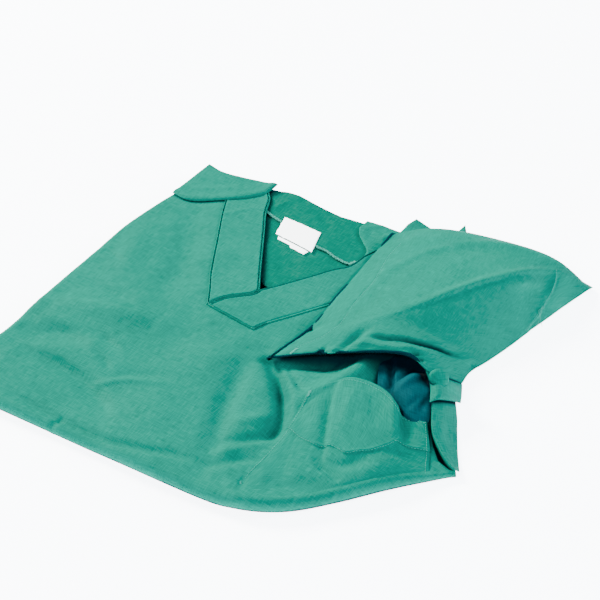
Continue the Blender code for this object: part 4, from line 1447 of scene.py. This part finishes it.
class TunicSewing(bpy.types.Operator):
    """Sew the topstitching, the overlocked edge, the bar tacks and the loose thread ends"""

    bl_idname = "tunic.sewing"
    bl_label = "Sewing"

    def execute(self, context):
        made = bpy.data.objects
        right, left = made["neck_band_right_cloth"], made["neck_band_left_cloth"]
        pocket, sleeve = made["chest_pocket_cloth"], made["left_sleeve_cloth"]
        facing = made["back_neck_facing_cloth"]
        pitch, radius = settings().stitch_pitch / MM, settings().thread_radius / MM
        lines = [
            on_piece(right, inset_line(BAND_OUT, STITCHES_IN) / MM, 0.1),
            on_piece(left, inset_line(BAND_FOOT, STITCHES_IN) / MM, 0.1),
            on_piece(left, inset_line(BAND_LEFT_OUT[:2], STITCHES_IN) / MM, 0.1),
            on_piece(right, inset_line(NECK_RIGHT[1:], -STITCHES_IN) / MM, 0.1),
            on_piece(pocket, POCKET_HEM_LINE, 0.25),
            on_piece(pocket, pocket_side(0.008), 0.2),
            on_piece(pocket, pocket_side(0.985), 0.2),
            on_piece(pocket, pocket_mouth(0.016), 0.15),
            on_piece(sleeve, SLEEVE_HEM_LINE, 0.05),
            on_piece(sleeve, SLEEVE_SEAM, 0.1),
        ]
        sewn("topstitching", lines, pitch, TOPSTITCH_SHARE * pitch, radius)
        edge = on_piece(facing, FACING_EDGE[1:-1] / MM + (0, 1.0), 0.25)
        sewn("facing_overlock", [edge], **OVERLOCK)
        tacks = [
            on_piece(piece, line, 0.3) for piece, line in zip((pocket, sleeve, pocket), BAR_TACK_LINES)
        ]
        sewn("bar_tacks", tacks, **BAR_TACK)
        knot = np.array(on_piece(sleeve, THREAD_KNOT, 1.2)[0])
        tails = [knot + mm(*tail) for tail in THREAD_TAILS]
        tube("thread_ends", tails, THREAD_END_RADIUS, polyester_thread())
        return {"FINISHED"}


def inset_line(line, distance):
    """An open line moved to its left by this many millimetres."""
    way = np.gradient(line, axis=0)
    way /= np.linalg.norm(way, axis=1)[:, None]
    return line + np.stack([-way[:, 1], way[:, 0]], axis=1) * distance * MM


def pocket_side(share, count=201):
    """A line down the pocket at this share of its width."""
    rows = dense_rows(POCKET_SECTIONS, count)
    at = int(round(share * (count - 1)))
    return np.array([row[at, :2] for row in rows]) / MM


def pocket_mouth(share, count=301):
    """A line along the pocket's mouth at this share of its length, from past the first corner."""
    grid = catmull_rom(np.stack(dense_rows(POCKET_SECTIONS, 41)), count)
    return grid[int(round(share * (count - 1))), 8:-1, :2] / MM


def open_rays():
    """Directions around +Z, each with the share of the light that comes from there."""
    rays = []
    for lean, count in OPEN_RINGS:
        tilt = math.radians(lean)
        for k in range(count):
            a = 2 * math.pi * (k + lean / 90) / count
            way = (math.cos(a) * math.sin(tilt), math.sin(a) * math.sin(tilt), math.cos(tilt))
            rays.append((Vector(way), math.cos(tilt)))
    return rays


class TunicOpenness(bpy.types.Operator):
    """Measure how open each point of the cloth lies, kept as an attribute that the poplin reads for its
    painted shade
    """

    bl_idname = "tunic.openness"
    bl_label = "Openness"

    def execute(self, context):
        pieces = [obj for obj in context.scene.objects if obj.name.endswith("_cloth")]
        points, faces = [], []
        for obj in pieces:
            start = len(points)
            points += [v.co.copy() for v in obj.data.vertices]
            faces += [tuple(start + i for i in p.vertices) for p in obj.data.polygons]
        tree = BVHTree.FromPolygons(points, faces)
        rays = open_rays()
        whole = sum(share for _, share in rays)
        for obj in pieces:
            mesh = obj.data
            seen = np.zeros(len(mesh.vertices))
            for i, v in enumerate(mesh.vertices):
                if v.normal.z < FACES_DOWN:
                    continue
                turn = v.normal.to_track_quat("Z", "Y")
                for way, share in rays:
                    there = turn @ way
                    if tree.ray_cast(v.co + there * OPEN_START, there, OPEN_REACH)[0] is None:
                        seen[i] += share / whole
            ends = np.empty(2 * len(mesh.edges), int)
            mesh.edges.foreach_get("vertices", ends)
            a, b = ends.reshape(-1, 2).T
            near = np.bincount(a, minlength=len(seen)) + np.bincount(b, minlength=len(seen))
            # Each point is evened out with those next to it
            for _ in range(2):
                around = np.bincount(a, seen[b], len(seen)) + np.bincount(b, seen[a], len(seen))
                seen = (seen + around / near) / 2
            kept = mesh.attributes.new("openness", "FLOAT", "POINT")
            kept.data.foreach_set("value", seen.astype(np.float32))
        return {"FINISHED"}


class TunicStage(bpy.types.Operator):
    """Set the white table, the soft studio light and the camera"""

    bl_idname = "tunic.stage"
    bl_label = "Stage"

    def execute(self, context):
        mesh = bpy.data.meshes.new("table")
        signs = ((-1, -1), (1, -1), (1, 1), (-1, 1))
        corners = [(x * TABLE_REACH, y * TABLE_REACH, TABLE_TOP) for x, y in signs]
        mesh.from_pydata(corners, [], [(0, 1, 2, 3)])
        mesh.materials.append(table_top())
        add_object("table", mesh)
        right = Vector((math.sin(CAMERA_TURN), math.cos(CAMERA_TURN), 0))
        ahead = Vector((-math.cos(CAMERA_TURN), math.sin(CAMERA_TURN), 0))
        for name, across, away, up, size, power, colour in SOFT_BOXES:
            data = bpy.data.lights.new(name, "AREA")
            data.size = size
            data.energy = power
            data.color = colour
            lamp = add_object(name, data)
            lamp.location = right * across + ahead * away + Vector((0, 0, up))
            lamp.rotation_mode = "QUATERNION"
            lamp.rotation_quaternion = (-lamp.location).to_track_quat("-Z", "Y")
        world = bpy.data.worlds.new("studio")
        world.use_nodes = True
        sky = world.node_tree.nodes["Background"]
        sky.inputs["Color"].default_value = SKY_COLOUR
        sky.inputs["Strength"].default_value = SKY_STRENGTH
        context.scene.world = world
        camera = bpy.data.cameras.new("camera")
        camera.lens = CAMERA_LENS
        camera.sensor_width = CAMERA_SENSOR
        camera.shift_y = CAMERA_SHIFT
        view = add_object("camera", camera)
        look = ahead * math.cos(CAMERA_DOWN) - Vector((0, 0, math.sin(CAMERA_DOWN)))
        above = right.cross(look)
        turned = Matrix((right, above, -look)).transposed()
        view.rotation_mode = "QUATERNION"
        view.rotation_quaternion = turned.to_quaternion()
        view.location = Vector((*CAMERA_FOOT, CAMERA_HEIGHT)) + CENTRING
        context.scene.camera = view
        return {"FINISHED"}


class TunicPanel(bpy.types.Panel):
    """Lists the tunic's sizes, colours and pieces"""

    bl_idname = "VIEW3D_PT_tunic"
    bl_label = "Folded surgical tunic"
    bl_space_type = "VIEW_3D"
    bl_region_type = "UI"
    bl_category = "Tunic"

    def draw(self, context):
        for name in TunicSettings.__annotations__:
            self.layout.prop(context.scene.tunic, name)
        for step in STEPS:
            self.layout.operator(step.bl_idname)


STEPS = (
    TunicStage, TunicFoldedLayers, TunicFrontPanel, TunicNeckBand, TunicInsideBack, TunicLabels,
    TunicShoulders, TunicLeftSleeve, TunicUnderarm, TunicMouthCloth, TunicChestPocket, TunicSewing,
    TunicOpenness,
)
CLASSES = (TunicSettings,) + STEPS + (TunicPanel,)


def register():
    for cls in CLASSES:
        bpy.utils.register_class(cls)
    bpy.types.Scene.tunic = bpy.props.PointerProperty(type=TunicSettings)


def unregister():
    del bpy.types.Scene.tunic
    for cls in reversed(CLASSES):
        bpy.utils.unregister_class(cls)


def main():
    """Builds every piece in order."""
    register()
    for step in STEPS:
        name = step.bl_idname.split(".")[1]
        getattr(bpy.ops.tunic, name)()


if __name__ == "__main__":
    main()
